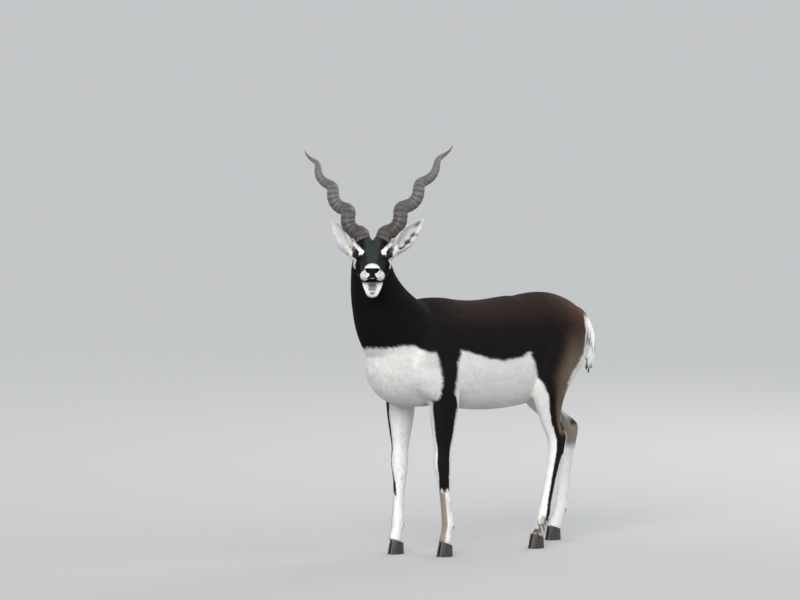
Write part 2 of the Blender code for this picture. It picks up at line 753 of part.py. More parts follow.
def lock(start, end, half):
    """A flat tapered lock that bends as it hangs."""
    middle = (start + end) / 2 + Vector((0, 0.004, 0))
    rows = [
        (*start, half * 0.7, 0.0022, 0.0022),
        (*middle, half, 0.0020, 0.0020),
        (*((middle + end * 2) / 3), half * 0.7, 0.0014, 0.0014),
        (*end, 0.0006, 0.0006, 0.0006),
    ]
    return limb(rows, 4, 5, power=2)


def united(name, pieces, finish, parts, helpers):
    """Joins closed pieces with one Boolean union on a collection."""
    group = bpy.data.collections.new(name + "_pieces")
    helpers.children.link(group)
    for k, piece in enumerate(pieces[1:]):
        data = bpy.data.meshes.new(f"{name}_{k}")
        bmesh.ops.triangulate(piece, faces=piece.faces)
        piece.to_mesh(data)
        piece.free()
        group.objects.link(bpy.data.objects.new(data.name, data))
    obj = simple_node(name, pieces[0], finish, parts)
    join = obj.modifiers.new("union", "BOOLEAN")
    join.operation = "UNION"
    join.operand_type = "COLLECTION"
    join.collection = group
    join.solver = "EXACT"
    baked(obj)
    for other in list(group.objects):
        bpy.data.objects.remove(other)
    bpy.data.collections.remove(group)
    largest_piece(obj.data)
    return obj


def torso_planes():
    """The cuts that part the body: name to a list of planes with outward normals."""
    cuts = {}
    for side, sign in (("left", 1), ("right", -1)):
        shift = FORE_SHIFT[side]
        cuts["foreleg_" + side] = [
            ((0.045 * sign, 0, 0.462), (-0.8 * sign, 0, 1)),
            ((0.008 * sign, 0, 0), (-sign, 0, 0)),
            ((0, -0.345 + shift, 0), (0, -1, 0)),
            ((0, -0.162 + shift, 0), (0, 1, 0)),
        ]
        stifle = 0.100 if side == "left" else 0.165
        cuts["hindleg_" + side] = [
            ((0.045 * sign, 0, 0.500), (-1.3 * sign, 0, 1)),
            ((0.004 * sign, 0, 0), (-sign, 0, 0)),
            ((0, stifle, 0.5), (0, -1, 0.5)),
        ]
    return cuts


def build():
    clear_scene()
    parts = new_collection("blackbuck")
    helpers = new_collection("cutters", helper=True)

    forms = [trunk(), neck()]
    for side, sign in (("left", 1), ("right", -1)):
        forms += shoulder(sign) + foreleg(side) + hindleg(side)
    forms.append(limb(tail_rows(TAIL_ROOT)[:3], 10, 16))
    forms += skull()
    body = fused("body", forms, BODY_VOXEL, helpers)
    ease(body, joint_zones(), 0.3, 44)
    thinned(body, BODY_TRIANGLES)

    head_forms = [neck(), *skull(), eyelids(1), eyelids(-1)]
    head_mesh = fused("head_whole", head_forms, HEAD_VOXEL, helpers)
    ease(head_mesh, [((0.02, -0.43, 0.93), 0.07, 0.9)], 0.3, 10)
    press(head_mesh, face_dents())
    throat = (in_head((0, 0.070, -0.035)), in_head((0, 0.62, -0.45), True))
    nape = (throat[0], -throat[1])
    beyond = throat[0] + throat[1].normalized() * THROAT_MARGIN
    rough = convex("rough_head", [(beyond, throat[1])], helpers)
    boolean(head_mesh, rough, "INTERSECT")
    baked(head_mesh)
    thinned(head_mesh, HEAD_TRIANGLES)

    neck_cut = ((0, -0.318, 0.742), (0, 0.62, -0.78))
    torso_side = (neck_cut[0], tuple(-v for v in neck_cut[1]))

    head_cuts = [(convex("head_side", [throat], helpers), "INTERSECT")]
    for sign, side in ((1, "left"), (-1, "right")):
        point, way = horn_plane(sign)
        point = in_head(point + way * ROOT_SINK["horn"])
        spread = root_block(point, in_head(way, True), helpers, "horn_" + side)
        head_cuts.append((spread, "DIFFERENCE"))
        e_root, _, e_way, _, _ = ear_frame(side)
        point = in_head(e_root + e_way * ROOT_SINK["ear"])
        spread = root_block(point, in_head(e_way, True), helpers, "ear_" + side)
        head_cuts.append((spread, "DIFFERENCE"))
        socket = ball(in_head(eye_centre(sign)), (EYE_RADIUS + GAP,) * 3, segments=16)
        data = bpy.data.meshes.new("socket_" + side)
        bmesh.ops.triangulate(socket, faces=socket.faces)
        socket.to_mesh(data)
        socket.free()
        head_cuts.append((helper_object(data.name, data, helpers), "DIFFERENCE"))
    node("head", head_mesh, head_cuts, "coat_black", parts)

    neck_region = [neck_cut, nape]
    grown = [(Vector(p) - Vector(n).normalized() * GAP, n) for p, n in neck_region]
    node("neck", body, [(convex("neck_region", grown, helpers), "INTERSECT")], "coat_black", parts)

    torso_cuts = [(convex("torso_side", [torso_side], helpers), "INTERSECT")]
    for name, planes in torso_planes().items():
        inner = convex(name + "_region", planes, helpers)
        outer = convex(name + "_gap", planes, helpers, grow=GAP)
        torso_cuts.append((outer, "DIFFERENCE"))
        side = name.split("_")[1]
        is_fore = name.startswith("fore")
        foot = (FORE_FEET if is_fore else HIND_FEET)[side]
        sole, tilt = coronet_plane(foot)
        joint_z = KNEE_Z + 0.030 if is_fore else HOCK_Z + 0.060
        above = [((0, 0, joint_z), (0, 0, -1))]
        below = [((0, 0, joint_z - GAP), (0, 0, 1)), (sole, tuple(-v for v in tilt))]
        upper = convex(name + "_upper_cutter", above, helpers)
        lower = convex(name + "_lower_cutter", below, helpers)
        node(name + "_upper", body, [(inner, "INTERSECT"), (upper, "INTERSECT")], "coat_black", parts)
        node(name + "_lower", body, [(inner, "INTERSECT"), (lower, "INTERSECT")], "coat_white", parts)
        for claw, off in (("outer", 1), ("inner", -1)):
            sign = 1 if side == "left" else -1
            simple_node(f"hoof_{name}_{claw}", hoof(off * sign, *foot), "hoof", parts)
    beyond_tail = [((0, TAIL_CUT_Y, TAIL_ROOT.z), (0, -1, 0.25))]
    torso_cuts.append((convex("tail_space", beyond_tail, helpers), "DIFFERENCE"))
    node("torso", body, torso_cuts, "coat_brown", parts)
    tail_node = united("tail", tail(), "coat_white", parts, helpers)
    trim = [((0, TAIL_CUT_Y + GAP, TAIL_ROOT.z), (0, -1, 0.25))]
    boolean(tail_node, convex("tail_region", trim, helpers), "INTERSECT")
    baked(tail_node)
    largest_piece(tail_node.data)

    for side, sign in (("left", 1), ("right", -1)):
        horn_node = simple_node("horn_" + side, horn(side), "horn", parts)
        point, way = horn_plane(sign)
        keep = [(in_head(point + way * (ROOT_SINK["horn"] + GAP)), -in_head(way, True))]
        boolean(horn_node, convex("horn_keep_" + side, keep, helpers), "INTERSECT")
        baked(horn_node)
        ear_node = simple_node("ear_" + side, ear(side), "coat_white", parts)
        e_root, _, e_way, _, _ = ear_frame(side)
        keep = [(in_head(e_root + e_way * (ROOT_SINK["ear"] + GAP)), -in_head(e_way, True))]
        boolean(ear_node, convex("ear_keep_" + side, keep, helpers), "INTERSECT")
        near_horn = bpy.data.meshes.new("near_horn_" + side)
        grown = horn(side, 2 * GAP)
        bmesh.ops.triangulate(grown, faces=grown.faces)
        grown.to_mesh(near_horn)
        grown.free()
        boolean(ear_node, helper_object(near_horn.name, near_horn, helpers), "DIFFERENCE")
        baked(ear_node)
        largest_piece(ear_node.data)
        eye = ball(in_head(eye_centre(sign)), (EYE_RADIUS,) * 3, segments=16)
        simple_node("eye_" + side, eye, "eye", parts)

    centre_on_ground(parts)
    for obj in list(helpers.all_objects):
        bpy.data.objects.remove(obj)


def root_block(point, way, helpers, name):
    """A short block beyond a plane, wide enough to square off the root of a horn or an ear."""
    across = way.orthogonal().normalized()
    other = way.cross(across)
    reach, depth = 0.034, 0.040
    planes = [(point, -way), (point + way * depth, way)]
    for direction in (across, -across, other, -other):
        planes.append((point + direction * reach, direction))
    return convex(name + "_block", planes, helpers)


def centre_on_ground(parts):
    """Moves the animal so that the middle of its box's underside is the origin."""
    bpy.context.view_layer.update()
    corners = [obj.matrix_world @ vert.co for obj in parts.objects for vert in obj.data.vertices]
    low = Vector(min(c[i] for c in corners) for i in range(3))
    high = Vector(max(c[i] for c in corners) for i in range(3))
    shift = Vector((-(low.x + high.x) / 2, -(low.y + high.y) / 2, -low.z))
    print("origin shift", tuple(round(v, 4) for v in shift))
    for obj in parts.objects:
        obj.data.transform(Matrix.Translation(shift))


build()
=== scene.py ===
"""The blackbuck's looks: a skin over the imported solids, a coat of tufts, and finer horns, ears and tail."""

import math

import bmesh
import bpy
import numpy as np
from mathutils import Matrix, Vector


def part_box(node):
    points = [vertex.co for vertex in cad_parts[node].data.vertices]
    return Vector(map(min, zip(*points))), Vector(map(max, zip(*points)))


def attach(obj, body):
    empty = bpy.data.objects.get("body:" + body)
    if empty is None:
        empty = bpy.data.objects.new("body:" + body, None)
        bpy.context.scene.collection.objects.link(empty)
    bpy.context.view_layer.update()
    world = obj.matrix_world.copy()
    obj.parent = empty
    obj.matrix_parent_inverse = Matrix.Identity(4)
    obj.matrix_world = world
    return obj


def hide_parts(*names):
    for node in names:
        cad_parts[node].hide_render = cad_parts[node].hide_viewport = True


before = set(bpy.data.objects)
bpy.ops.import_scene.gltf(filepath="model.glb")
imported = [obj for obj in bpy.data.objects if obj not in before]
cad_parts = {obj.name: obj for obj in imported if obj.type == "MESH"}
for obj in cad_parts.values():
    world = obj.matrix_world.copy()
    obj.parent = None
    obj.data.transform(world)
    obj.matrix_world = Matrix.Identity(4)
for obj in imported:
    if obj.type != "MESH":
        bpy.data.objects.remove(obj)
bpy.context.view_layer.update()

# Voxels of the skins, and how deep each lies under the solids to leave room for the hair
BODY_VOXEL, HEAD_VOXEL = 0.0044, 0.0017
COAT_DEPTH, FACE_DEPTH = 0.0032, 0.0010
# How many tufts grow on each part, and how many at most make one piece
BODY_TUFTS, HEAD_TUFTS, EAR_TUFTS = 230000, 60000, 9000
PIECE_TUFTS = 45000

# The camera in the photo's place: its bearing and rise, its distance, and how far up it is moved
VIEW_AZIMUTH, VIEW_RISE = math.radians(50), math.radians(5)
VIEW_DISTANCE, VIEW_HEIGHT = 20.0, 0.498
# The picture's size in points, a point's size at the animal, and the point that shows the ground below it
PICTURE = (800, 600)
POINT = 0.00308
STANDS_AT = (486, 549)

EYE_RADIUS = 0.0165
TAIL_ROOT = Vector((0, 0.384, 0.705))
# The head looks at the camera: turned to its left, with the nose a little raised
HEAD_TURN = math.radians(50.6)
HEAD_LIFT = math.radians(5)
HEAD_PLACE = Vector((0.079, -0.512, 0.9355))
HEAD = (
    Matrix.Translation(HEAD_PLACE)
    @ Matrix.Rotation(HEAD_TURN, 4, "Z")
    @ Matrix.Rotation(-HEAD_LIFT, 4, "X")
)
IN_HEAD = HEAD.inverted()
# Each leg: where its hoof stands, and how far its joints lie behind the plain stance
ELBOW = (0.080, -0.238)
FORE_FEET = {"left": (0.073, -0.223), "right": (-0.078, -0.292)}
FORE_SHIFT = {"left": 0.006, "right": -0.034}
KNEE_SHIFT = {"left": -0.003, "right": 0.013}
FETLOCK_BACK = {"left": 0.009, "right": 0.005}
HIND_FEET = {"left": (0.074, 0.142), "right": (-0.073, 0.336)}
# Heights of the leg joints, and how steeply the hoof's upper edge falls backwards
KNEE_Z, HOCK_Z, FETLOCK_Z, CORONET_Z = 0.282, 0.330, 0.100, 0.040
CORONET_SLOPE = 0.36
DEWCLAW, DEWCLAW_OUT = (0.0058, 0.0060, 0.0085), 0.0105
# Horn and ear roots, in the head's frame, for the left side
HORN_ROOT = Vector((0.027, 0.036, 0.038))
HORN_TIPS = {"left": Vector((0.238, 0.262, 0.338)), "right": Vector((0.204, 0.262, 0.322))}
HORN_RADIUS = 0.0225
HORN_RINGS, RING_STEPS, HORN_SIDES = 34, 9, 40
EAR_ROOT = {"left": Vector((0.062, 0.069, 0.010)), "right": Vector((0.060, 0.071, 0.008))}
EAR_TIP = {"left": Vector((0.154, 0.092, 0.107)), "right": Vector((0.128, 0.114, 0.103))}
EAR_FACING = {"left": Vector((0.20, -0.97, 0.05)), "right": Vector((0.55, -0.83, -0.10))}
SIDES = {"left": 1, "right": -1}


def smooth_rows(rows, count):
    """Rows of numbers read from a Catmull-Rom curve through the given ones, spaced by the first three."""
    rows = np.array(rows, float)
    steps = np.linalg.norm(np.diff(rows[:, :3], axis=0), axis=1) ** 0.5
    knots = np.concatenate([[0], np.cumsum(steps)])
    slopes = np.gradient(rows, knots, axis=0)
    places = np.linspace(0, knots[-1], count)
    left = np.clip(np.searchsorted(knots, places, side="right") - 1, 0, len(rows) - 2)
    span = (knots[left + 1] - knots[left])[:, None]
    t = (places - knots[left])[:, None] / span
    return (
        (2 * t**3 - 3 * t**2 + 1) * rows[left]
        + (t**3 - 2 * t**2 + t) * span * slopes[left]
        + (3 * t**2 - 2 * t**3) * rows[left + 1]
        + (t**3 - t**2) * span * slopes[left + 1]
    )


def closed_loft(rings):
    """A mesh through rings of equal point counts, with its two ends filled."""
    mesh = bmesh.new()
    loops = [[mesh.verts.new(point) for point in ring] for ring in rings]
    for a, b in zip(loops, loops[1:]):
        for i in range(len(a)):
            j = (i + 1) % len(a)
            mesh.faces.new((a[i], a[j], b[j], b[i]))
    mesh.faces.new(reversed(loops[0]))
    mesh.faces.new(loops[-1])
    bmesh.ops.recalc_face_normals(mesh, faces=mesh.faces)
    return mesh


def limb(rows, count=28, sides=28, side_hint=(1, 0, 0), power=2.15):
    """A loft along a limb. A row is x, y, z, then the reach to the sides, ahead and behind."""
    rows = smooth_rows(rows, count)
    centres = rows[:, :3]
    tangents = np.gradient(centres, axis=0)
    angles = np.linspace(0, 2 * math.pi, sides, endpoint=False)
    c, s = np.cos(angles), np.sin(angles)
    across = np.sign(c) * np.abs(c) ** (2 / power)
    along = np.sign(s) * np.abs(s) ** (2 / power)
    rings = []
    for row, centre, tangent in zip(rows, centres, tangents):
        t = Vector(tangent).normalized()
        side = Vector(side_hint) - Vector(side_hint).dot(t) * t
        side.normalize()
        front = t.cross(side)
        reach, ahead, behind = np.maximum(row[3:6], 0.002)
        rings.append(
            [
                Vector(centre) + side * reach * a + front * (ahead if b > 0 else behind) * b
                for a, b in zip(across, along)
            ]
        )
    return closed_loft(rings)


def ball(centre, radii, segments=24):
    mesh = bmesh.new()
    shape = Matrix.Translation(Vector(centre)) @ Matrix.Diagonal((*radii, 1))
    bmesh.ops.create_uvsphere(mesh, u_segments=segments, v_segments=segments // 2, radius=1, matrix=shape)
    return mesh


def trunk():
    """From rump to breast: y, height of the widest line, half width, reach up, reach down."""
    stations = [
        (0.378, 0.655, 0.012, 0.020, 0.020),
        (0.366, 0.655, 0.048, 0.058, 0.055),
        (0.336, 0.655, 0.080, 0.095, 0.090),
        (0.285, 0.650, 0.098, 0.128, 0.125),
        (0.210, 0.638, 0.105, 0.152, 0.148),
        (0.130, 0.612, 0.109, 0.172, 0.168),
        (0.040, 0.600, 0.114, 0.176, 0.168),
        (-0.050, 0.600, 0.115, 0.172, 0.166),
        (-0.130, 0.605, 0.110, 0.172, 0.160),
        (-0.200, 0.610, 0.103, 0.178, 0.154),
        (-0.270, 0.606, 0.098, 0.178, 0.152),
        (-0.340, 0.600, 0.096, 0.155, 0.140),
        (-0.397, 0.597, 0.084, 0.120, 0.116),
        (-0.434, 0.597, 0.057, 0.078, 0.074),
        (-0.452, 0.598, 0.022, 0.035, 0.030),
    ]
    rows = [(0, y, z, half, up, down) for y, z, half, up, down in stations]
    return limb(rows, 44, 40, power=2.1)


def neck():
    """From breast to head: the fourth to sixth numbers reach to the sides, nape and throat."""
    rows = [
        (0, -0.225, 0.620, 0.078, 0.105, 0.112),
        (0, -0.322, 0.672, 0.095, 0.118, 0.134),
        (0, -0.386, 0.735, 0.089, 0.102, 0.117),
        (0.000, -0.427, 0.800, 0.077, 0.084, 0.087),
        (0.004, -0.450, 0.862, 0.065, 0.067, 0.068),
        (0.014, -0.460, 0.910, 0.056, 0.056, 0.060),
        (0.028, -0.462, 0.942, 0.044, 0.044, 0.044),
    ]
    return limb(rows, 30, 36)


def shoulder(sign):
    """The shoulder blade down to the point of the shoulder, and the upper arm back to the elbow."""
    blade = [
        (0.024 * sign, -0.180, 0.745, 0.018, 0.034, 0.034),
        (0.050 * sign, -0.215, 0.705, 0.033, 0.058, 0.058),
        (0.066 * sign, -0.262, 0.655, 0.040, 0.066, 0.068),
        (0.074 * sign, -0.315, 0.605, 0.038, 0.052, 0.060),
        (0.072 * sign, -0.345, 0.565, 0.028, 0.032, 0.038),
    ]
    upper_arm = [
        (0.074 * sign, -0.350, 0.600, 0.030, 0.032, 0.032),
        (0.078 * sign, -0.312, 0.560, 0.039, 0.050, 0.050),
        (0.080 * sign, -0.270, 0.525, 0.038, 0.050, 0.050),
        (0.080 * sign, -0.244, 0.495, 0.032, 0.036, 0.038),
    ]
    return [limb(blade, 20, 24), limb(upper_arm, 18, 24)]


def fore_line(side):
    """Heights and places of the foreleg's line: shoulder, elbow, knee, fetlock, sole."""
    foot_x, foot_y = FORE_FEET[side]
    elbow_x = ELBOW[0] * SIDES[side]
    elbow_y = ELBOW[1] + FORE_SHIFT[side]
    heights = (0.60, 0.50, KNEE_Z, FETLOCK_Z, 0.0)
    line_x = (elbow_x, elbow_x, elbow_x * 0.35 + foot_x * 0.65, foot_x, foot_x)
    knee_y = elbow_y * 0.45 + foot_y * 0.55 - 0.006 + KNEE_SHIFT[side]
    fetlock_y = foot_y + FETLOCK_BACK[side]
    line_y = (elbow_y - 0.010, elbow_y, knee_y, fetlock_y, foot_y - 0.012)
    return heights, line_x, line_y


def foreleg(side):
    """From inside the shoulder to below the coronet: height, then reach to the sides, front and back."""
    line = fore_line(side)
    sections = [
        (0.585, 0.036, 0.048, 0.048),
        (0.530, 0.038, 0.050, 0.054),
        (0.480, 0.038, 0.050, 0.051),
        (0.435, 0.036, 0.046, 0.046),
        (0.380, 0.031, 0.037, 0.036),
        (0.330, 0.0250, 0.0285, 0.0270),
        (0.300, 0.0250, 0.0290, 0.0245),
        (0.275, 0.0254, 0.0292, 0.0242),
        (0.250, 0.0222, 0.0245, 0.0236),
        (0.220, 0.0182, 0.0195, 0.0212),
        (0.175, 0.0164, 0.0174, 0.0198),
        (0.130, 0.0168, 0.0178, 0.0202),
        (0.102, 0.0192, 0.0188, 0.0216),
        (0.076, 0.0172, 0.0165, 0.0180),
        (0.052, 0.0188, 0.0192, 0.0190),
        (0.020, 0.0190, 0.0215, 0.0190),
    ]
    point_of_elbow = ball((line[1][1], line[2][1] + 0.046, 0.520), (0.018, 0.020, 0.026))
    claws = dewclaws(FORE_FEET[side][0], line[2][3] + 0.017, 0.088)
    return [limb(leg_rows(sections, line), 60, 24, power=2.2), point_of_elbow, *claws]


def dewclaws(x, y, z):
    return [ball((x + off, y, z), DEWCLAW) for off in (-DEWCLAW_OUT, DEWCLAW_OUT)]


def on_line(line, z):
    """Where the middle of a leg is at the given heights, from the line's heights and places."""
    order = np.argsort(line[0])
    up, xs, ys = (np.array(v, float)[order] for v in line)
    return np.interp(z, up, xs), np.interp(z, up, ys)


def leg_rows(sections, line):
    """Sections given by height, placed on the line of the leg."""
    return [(*on_line(line, z), z, *reaches) for z, *reaches in sections]


def hind_line(side):
    """Heights and places of the hind leg's line: hip, thigh, stifle, shank, hock, fetlock, sole."""
    foot_y = HIND_FEET[side][1]
    heights = (0.72, 0.62, 0.53, 0.45, 0.385, HOCK_Z, 0.295, FETLOCK_Z, 0.0)
    line_x = [v * SIDES[side] for v in (0.048, 0.072, 0.082, 0.080, 0.076, 0.074, 0.074, 0.074, 0.074)]
    if side == "left":
        line_y = (0.262, 0.240, 0.198, 0.190, 0.202, 0.219, 0.217, foot_y + 0.028, foot_y - 0.014)
    else:
        line_y = (0.275, 0.272, 0.256, 0.295, 0.354, 0.395, 0.391, foot_y + 0.030, foot_y - 0.012)
    return heights, line_x, line_y


def hindleg(side):
    """The thigh, shank and cannon as one loft, with the tendon down to the point of the hock as another."""
    line = hind_line(side)
    sections = [
        (0.735, 0.022, 0.045, 0.045),
        (0.690, 0.040, 0.078, 0.076),
        (0.640, 0.048, 0.094, 0.092),
        (0.600, 0.050, 0.099, 0.097),
        (0.560, 0.046, 0.092, 0.083),
        (0.510, 0.040, 0.080, 0.066),
        (0.465, 0.034, 0.064, 0.050),
        (0.425, 0.028, 0.049, 0.038),
        (0.385, 0.0235, 0.0365, 0.0290),
        (0.350, 0.0218, 0.0280, 0.0310),
        (0.322, 0.0218, 0.0255, 0.0335),
        (0.292, 0.0202, 0.0220, 0.0310),
        (0.260, 0.0180, 0.0188, 0.0280),
        (0.200, 0.0164, 0.0168, 0.0240),
        (0.138, 0.0170, 0.0172, 0.0232),
        (0.104, 0.0198, 0.0190, 0.0245),
        (0.077, 0.0178, 0.0168, 0.0195),
        (0.052, 0.0200, 0.0205, 0.0210),
        (0.020, 0.0210, 0.0240, 0.0200),
    ]
    hock_x, hock_y = on_line(line, HOCK_Z)
    tendon = [
        (hock_x, hock_y + 0.018, 0.305, 0.0120, 0.012, 0.012),
        (hock_x, hock_y + 0.028, 0.338, 0.0125, 0.013, 0.013),
        (hock_x, hock_y + 0.026, 0.358, 0.0105, 0.011, 0.011),
    ]
    for z, back, reach, depth in (
        (0.400, 0.029, 0.0075, 0.009),
        (0.450, 0.038, 0.0120, 0.015),
        (0.500, 0.044, 0.0200, 0.020),
    ):
        x, y = on_line(line, z)
        tendon.append((x, y + back, z, reach, depth, depth))
    foot_x, foot_y = HIND_FEET[side]
    shaft = limb(leg_rows(sections, line), 64, 26, power=2.2)
    return [shaft, limb(tendon, 20, 16, power=2), *dewclaws(foot_x, foot_y + 0.040, 0.089)]


def skull():
    """The head in its own frame: y, height, half width, reach up and reach down."""
    upper = [
        (0.100, -0.012, 0.020, 0.022, 0.025),
        (0.082, -0.012, 0.038, 0.046, 0.048),
        (0.055, -0.016, 0.045, 0.060, 0.058),
        (0.030, -0.020, 0.046, 0.058, 0.062),
        (0.000, -0.026, 0.043, 0.050, 0.056),
        (-0.030, -0.034, 0.0365, 0.041, 0.044),
        (-0.060, -0.042, 0.0300, 0.031, 0.034),
        (-0.080, -0.047, 0.0265, 0.026, 0.029),
        (-0.100, -0.051, 0.0245, 0.022, 0.025),
        (-0.118, -0.054, 0.0230, 0.020, 0.020),
        (-0.131, -0.056, 0.0190, 0.016, 0.017),
        (-0.138, -0.058, 0.0100, 0.009, 0.010),
    ]
    jaw = [
        (0.066, -0.050, 0.018, 0.020, 0.020),
        (0.045, -0.058, 0.034, 0.034, 0.032),
        (0.015, -0.066, 0.037, 0.030, 0.033),
        (-0.015, -0.079, 0.0345, 0.022, 0.026),
        (-0.042, -0.092, 0.0300, 0.013, 0.021),
        (-0.066, -0.105, 0.0250, 0.0085, 0.0170),
        (-0.087, -0.116, 0.0200, 0.0075, 0.0145),
        (-0.100, -0.121, 0.0160, 0.0070, 0.0120),
        (-0.108, -0.123, 0.0085, 0.0045, 0.0055),
    ]
    lip = [
        (0.024, -0.020, -0.062, 0.016, 0.018, 0.018),
        (0.025, -0.050, -0.064, 0.0135, 0.016, 0.016),
        (0.023, -0.078, -0.068, 0.0120, 0.0135, 0.0135),
        (0.0175, -0.104, -0.069, 0.0105, 0.0110, 0.0110),
        (0.0100, -0.124, -0.067, 0.0085, 0.0085, 0.0085),
        (0.0040, -0.130, -0.066, 0.0050, 0.0050, 0.0050),
    ]
    pedicle = ((-0.035, 0.020), (-0.010, 0.0235), (0.006, 0.0230), (0.020, 0.0225))
    ear_stub = ((-0.030, 0.014), (-0.012, 0.0165), (0.004, 0.0160), (0.014, 0.0150))
    forms = [limb([(0, *row) for row in upper], 40, 32, power=2.3)]
    forms.append(limb([(0, *row) for row in jaw], 34, 28, power=2.2))
    for side, sign in SIDES.items():
        cheek, brow, cheekbone, ear_ground, nose_wing = (
            ball((place[0] * sign, *place[1:]), radii)
            for place, radii in (
                ((0.031, 0.022, -0.045), (0.019, 0.036, 0.034)),
                ((0.036, 0.006, 0.004), (0.019, 0.027, 0.021)),
                ((0.0385, 0.017, -0.031), (0.0185, 0.034, 0.024)),
                ((0.0475, 0.056, 0.023), (0.016, 0.022, 0.017)),
                ((0.0140, -0.121, -0.050), (0.0115, 0.014, 0.012)),
            )
        )
        horn_stub = limb(stub_rows(HORN_ROOT, HORN_TIPS[side], sign, pedicle), 12, 20)
        ear_base = limb(stub_rows(EAR_ROOT[side], EAR_TIP[side], sign, ear_stub), 12, 20)
        lip_edge = limb([(x * sign, *row) for x, *row in lip], 24, 14, power=2)
        forms += [cheek, brow, cheekbone, horn_stub, ear_base, ear_ground, lip_edge, nose_wing]
    for form in forms:
        bmesh.ops.transform(form, matrix=HEAD, verts=form.verts)
    return forms


def stub_rows(root, tip, sign, sizes):
    """Round sections along the way from root to tip: each size is a distance and a radius."""
    root = Vector((root.x * sign, root.y, root.z))
    way = (Vector((tip.x * sign, tip.y, tip.z)) - root).normalized()
    return [(*(root + way * d), r, r, r) for d, r in sizes]


def joined(forms):
    """One bmesh out of several, which it uses up."""
    whole = bmesh.new()
    for form in forms:
        scrap = bpy.data.meshes.new("form")
        form.to_mesh(scrap)
        form.free()
        whole.from_mesh(scrap)
        bpy.data.meshes.remove(scrap)
    return whole


def fused(name, forms, voxel):
    """One object whose closed forms are fused by a voxel remesh."""
    whole = joined(forms)
    mesh = bpy.data.meshes.new(name)
    whole.to_mesh(mesh)
    whole.free()
    obj = bpy.data.objects.new(name, mesh)
    bpy.context.scene.collection.objects.link(obj)
    remesh = obj.modifiers.new("fuse", "REMESH")
    remesh.mode = "VOXEL"
    remesh.voxel_size = voxel
    return baked(obj)


def baked(obj):
    """The object with its modifiers applied to a mesh of its own."""
    graph = bpy.context.evaluated_depsgraph_get()
    mesh = bpy.data.meshes.new_from_object(obj.evaluated_get(graph))
    obj.modifiers.clear()
    obj.data = mesh
    return obj


def joint_zones():
    """Where the forms flow into each other: the place, its reach, and the strength of the smoothing."""
    zones = [
        ((0, -0.33, 0.66), 0.17, 1.0),
        ((0, -0.20, 0.79), 0.12, 1.0),
        ((0, 0.34, 0.66), 0.10, 1.0),
        ((0.02, -0.43, 0.93), 0.07, 0.9),
    ]
    for sign in SIDES.values():
        for x, y, z, reach, strength in (
            (0.09, -0.24, 0.62, 0.17, 1.0),
            (0.07, -0.35, 0.61, 0.13, 1.0),
            (0.07, -0.24, 0.47, 0.07, 0.9),
            (0.09, 0.24, 0.66, 0.17, 1.0),
            (0.06, 0.20, 0.50, 0.08, 0.9),
        ):
            zones.append(((x * sign, y, z), reach, strength))
    return zones


def ease(obj, zones, base, repeat):
    """Smooths the surface, strongly inside the zones and by the base share elsewhere."""
    count = len(obj.data.vertices)
    places = np.empty(count * 3, np.float32)
    obj.data.vertices.foreach_get("co", places)
    places = places.reshape(-1, 3)
    weight = np.full(count, base)
    for centre, reach, strength in zones:
        near = 1 - np.linalg.norm(places - np.array(centre), axis=1) / reach
        near = np.clip(near * 1.6, 0, 1)
        weight = np.maximum(weight, strength * near * near * (3 - 2 * near))
    group = obj.vertex_groups.new(name="ease")
    for level in range(1, 11):
        chosen = np.nonzero(np.round(weight * 10) == level)[0]
        group.add(chosen.tolist(), level / 10, "REPLACE")
    smooth = obj.modifiers.new("ease", "SMOOTH")
    smooth.vertex_group = "ease"
    smooth.factor = 0.5
    smooth.iterations = repeat
    baked(obj)
    obj.vertex_groups.clear()


def press(obj, dents):
    """Pushes the surface round places of the head: place, reach, and the push itself."""
    for vert in obj.data.vertices:
        local = IN_HEAD @ vert.co
        moved = Vector((0, 0, 0))
        for place, reach, push in dents:
            off = Vector(((local[i] - place[i]) / reach[i] for i in range(3))).length_squared
            if off < 6:
                moved += Vector(push) * math.exp(-off)
        if moved.length > 1e-6:
            vert.co = HEAD @ (local + moved)


def face_dents():
    """Nostrils and the groove between them, and the hollows of the brow, lips and eyes."""
    dents = [
        ((0, -0.138, -0.060), (0.0022, 0.008, 0.012), (0, 0.0035, 0)),
        ((0, -0.060, 0.002), (0.016, 0.030, 0.012), (0, 0, -0.002)),
    ]
    for sign in (1, -1):
        dents += [
            ((0.0135 * sign, -0.134, -0.051), (0.0050, 0.006, 0.0040), (-0.001 * sign, 0.010, 0.001)),
            ((0.0180 * sign, -0.126, -0.047), (0.0050, 0.006, 0.0035), (0.001 * sign, 0, 0.001)),
            ((0.041 * sign, -0.034, -0.016), (0.010, 0.012, 0.007), (-0.004 * sign, 0, 0)),
            ((0.030 * sign, -0.088, -0.056), (0.008, 0.024, 0.004), (-0.0022 * sign, 0, 0)),
        ]
    return dents


def in_head(point, direction=False):
    """A point or a direction of the head's frame, in the body's frame."""
    turned = HEAD.to_3x3() @ Vector(point)
    return turned if direction else turned + HEAD.translation


def from_head(places):
    """Places of the body's frame, in the head's frame."""
    return places @ np.array(IN_HEAD.to_3x3()).T + np.array(IN_HEAD.translation)


def ear_frame(side):
    """The ear's root and tip, the way along it, the way it faces, and the way across."""
    root, tip, face = EAR_ROOT[side].copy(), EAR_TIP[side].copy(), EAR_FACING[side].copy()
    for v in (root, tip, face):
        v.x *= SIDES[side]
    way = (tip - root).normalized()
    face = (face - face.dot(way) * way).normalized()
    return root, tip, way, face, way.cross(face)


def eye_centre(sign):
    return Vector((0.0445 * sign, 0.002, 0.001))


def tail_point(t):
    """A place along the tail, which bows out behind the rump."""
    out, drop = 0.040, 0.135
    return TAIL_ROOT + Vector((0, out * math.sin(math.pi * min(t * 0.85, 1)) + 0.004, -drop * t))


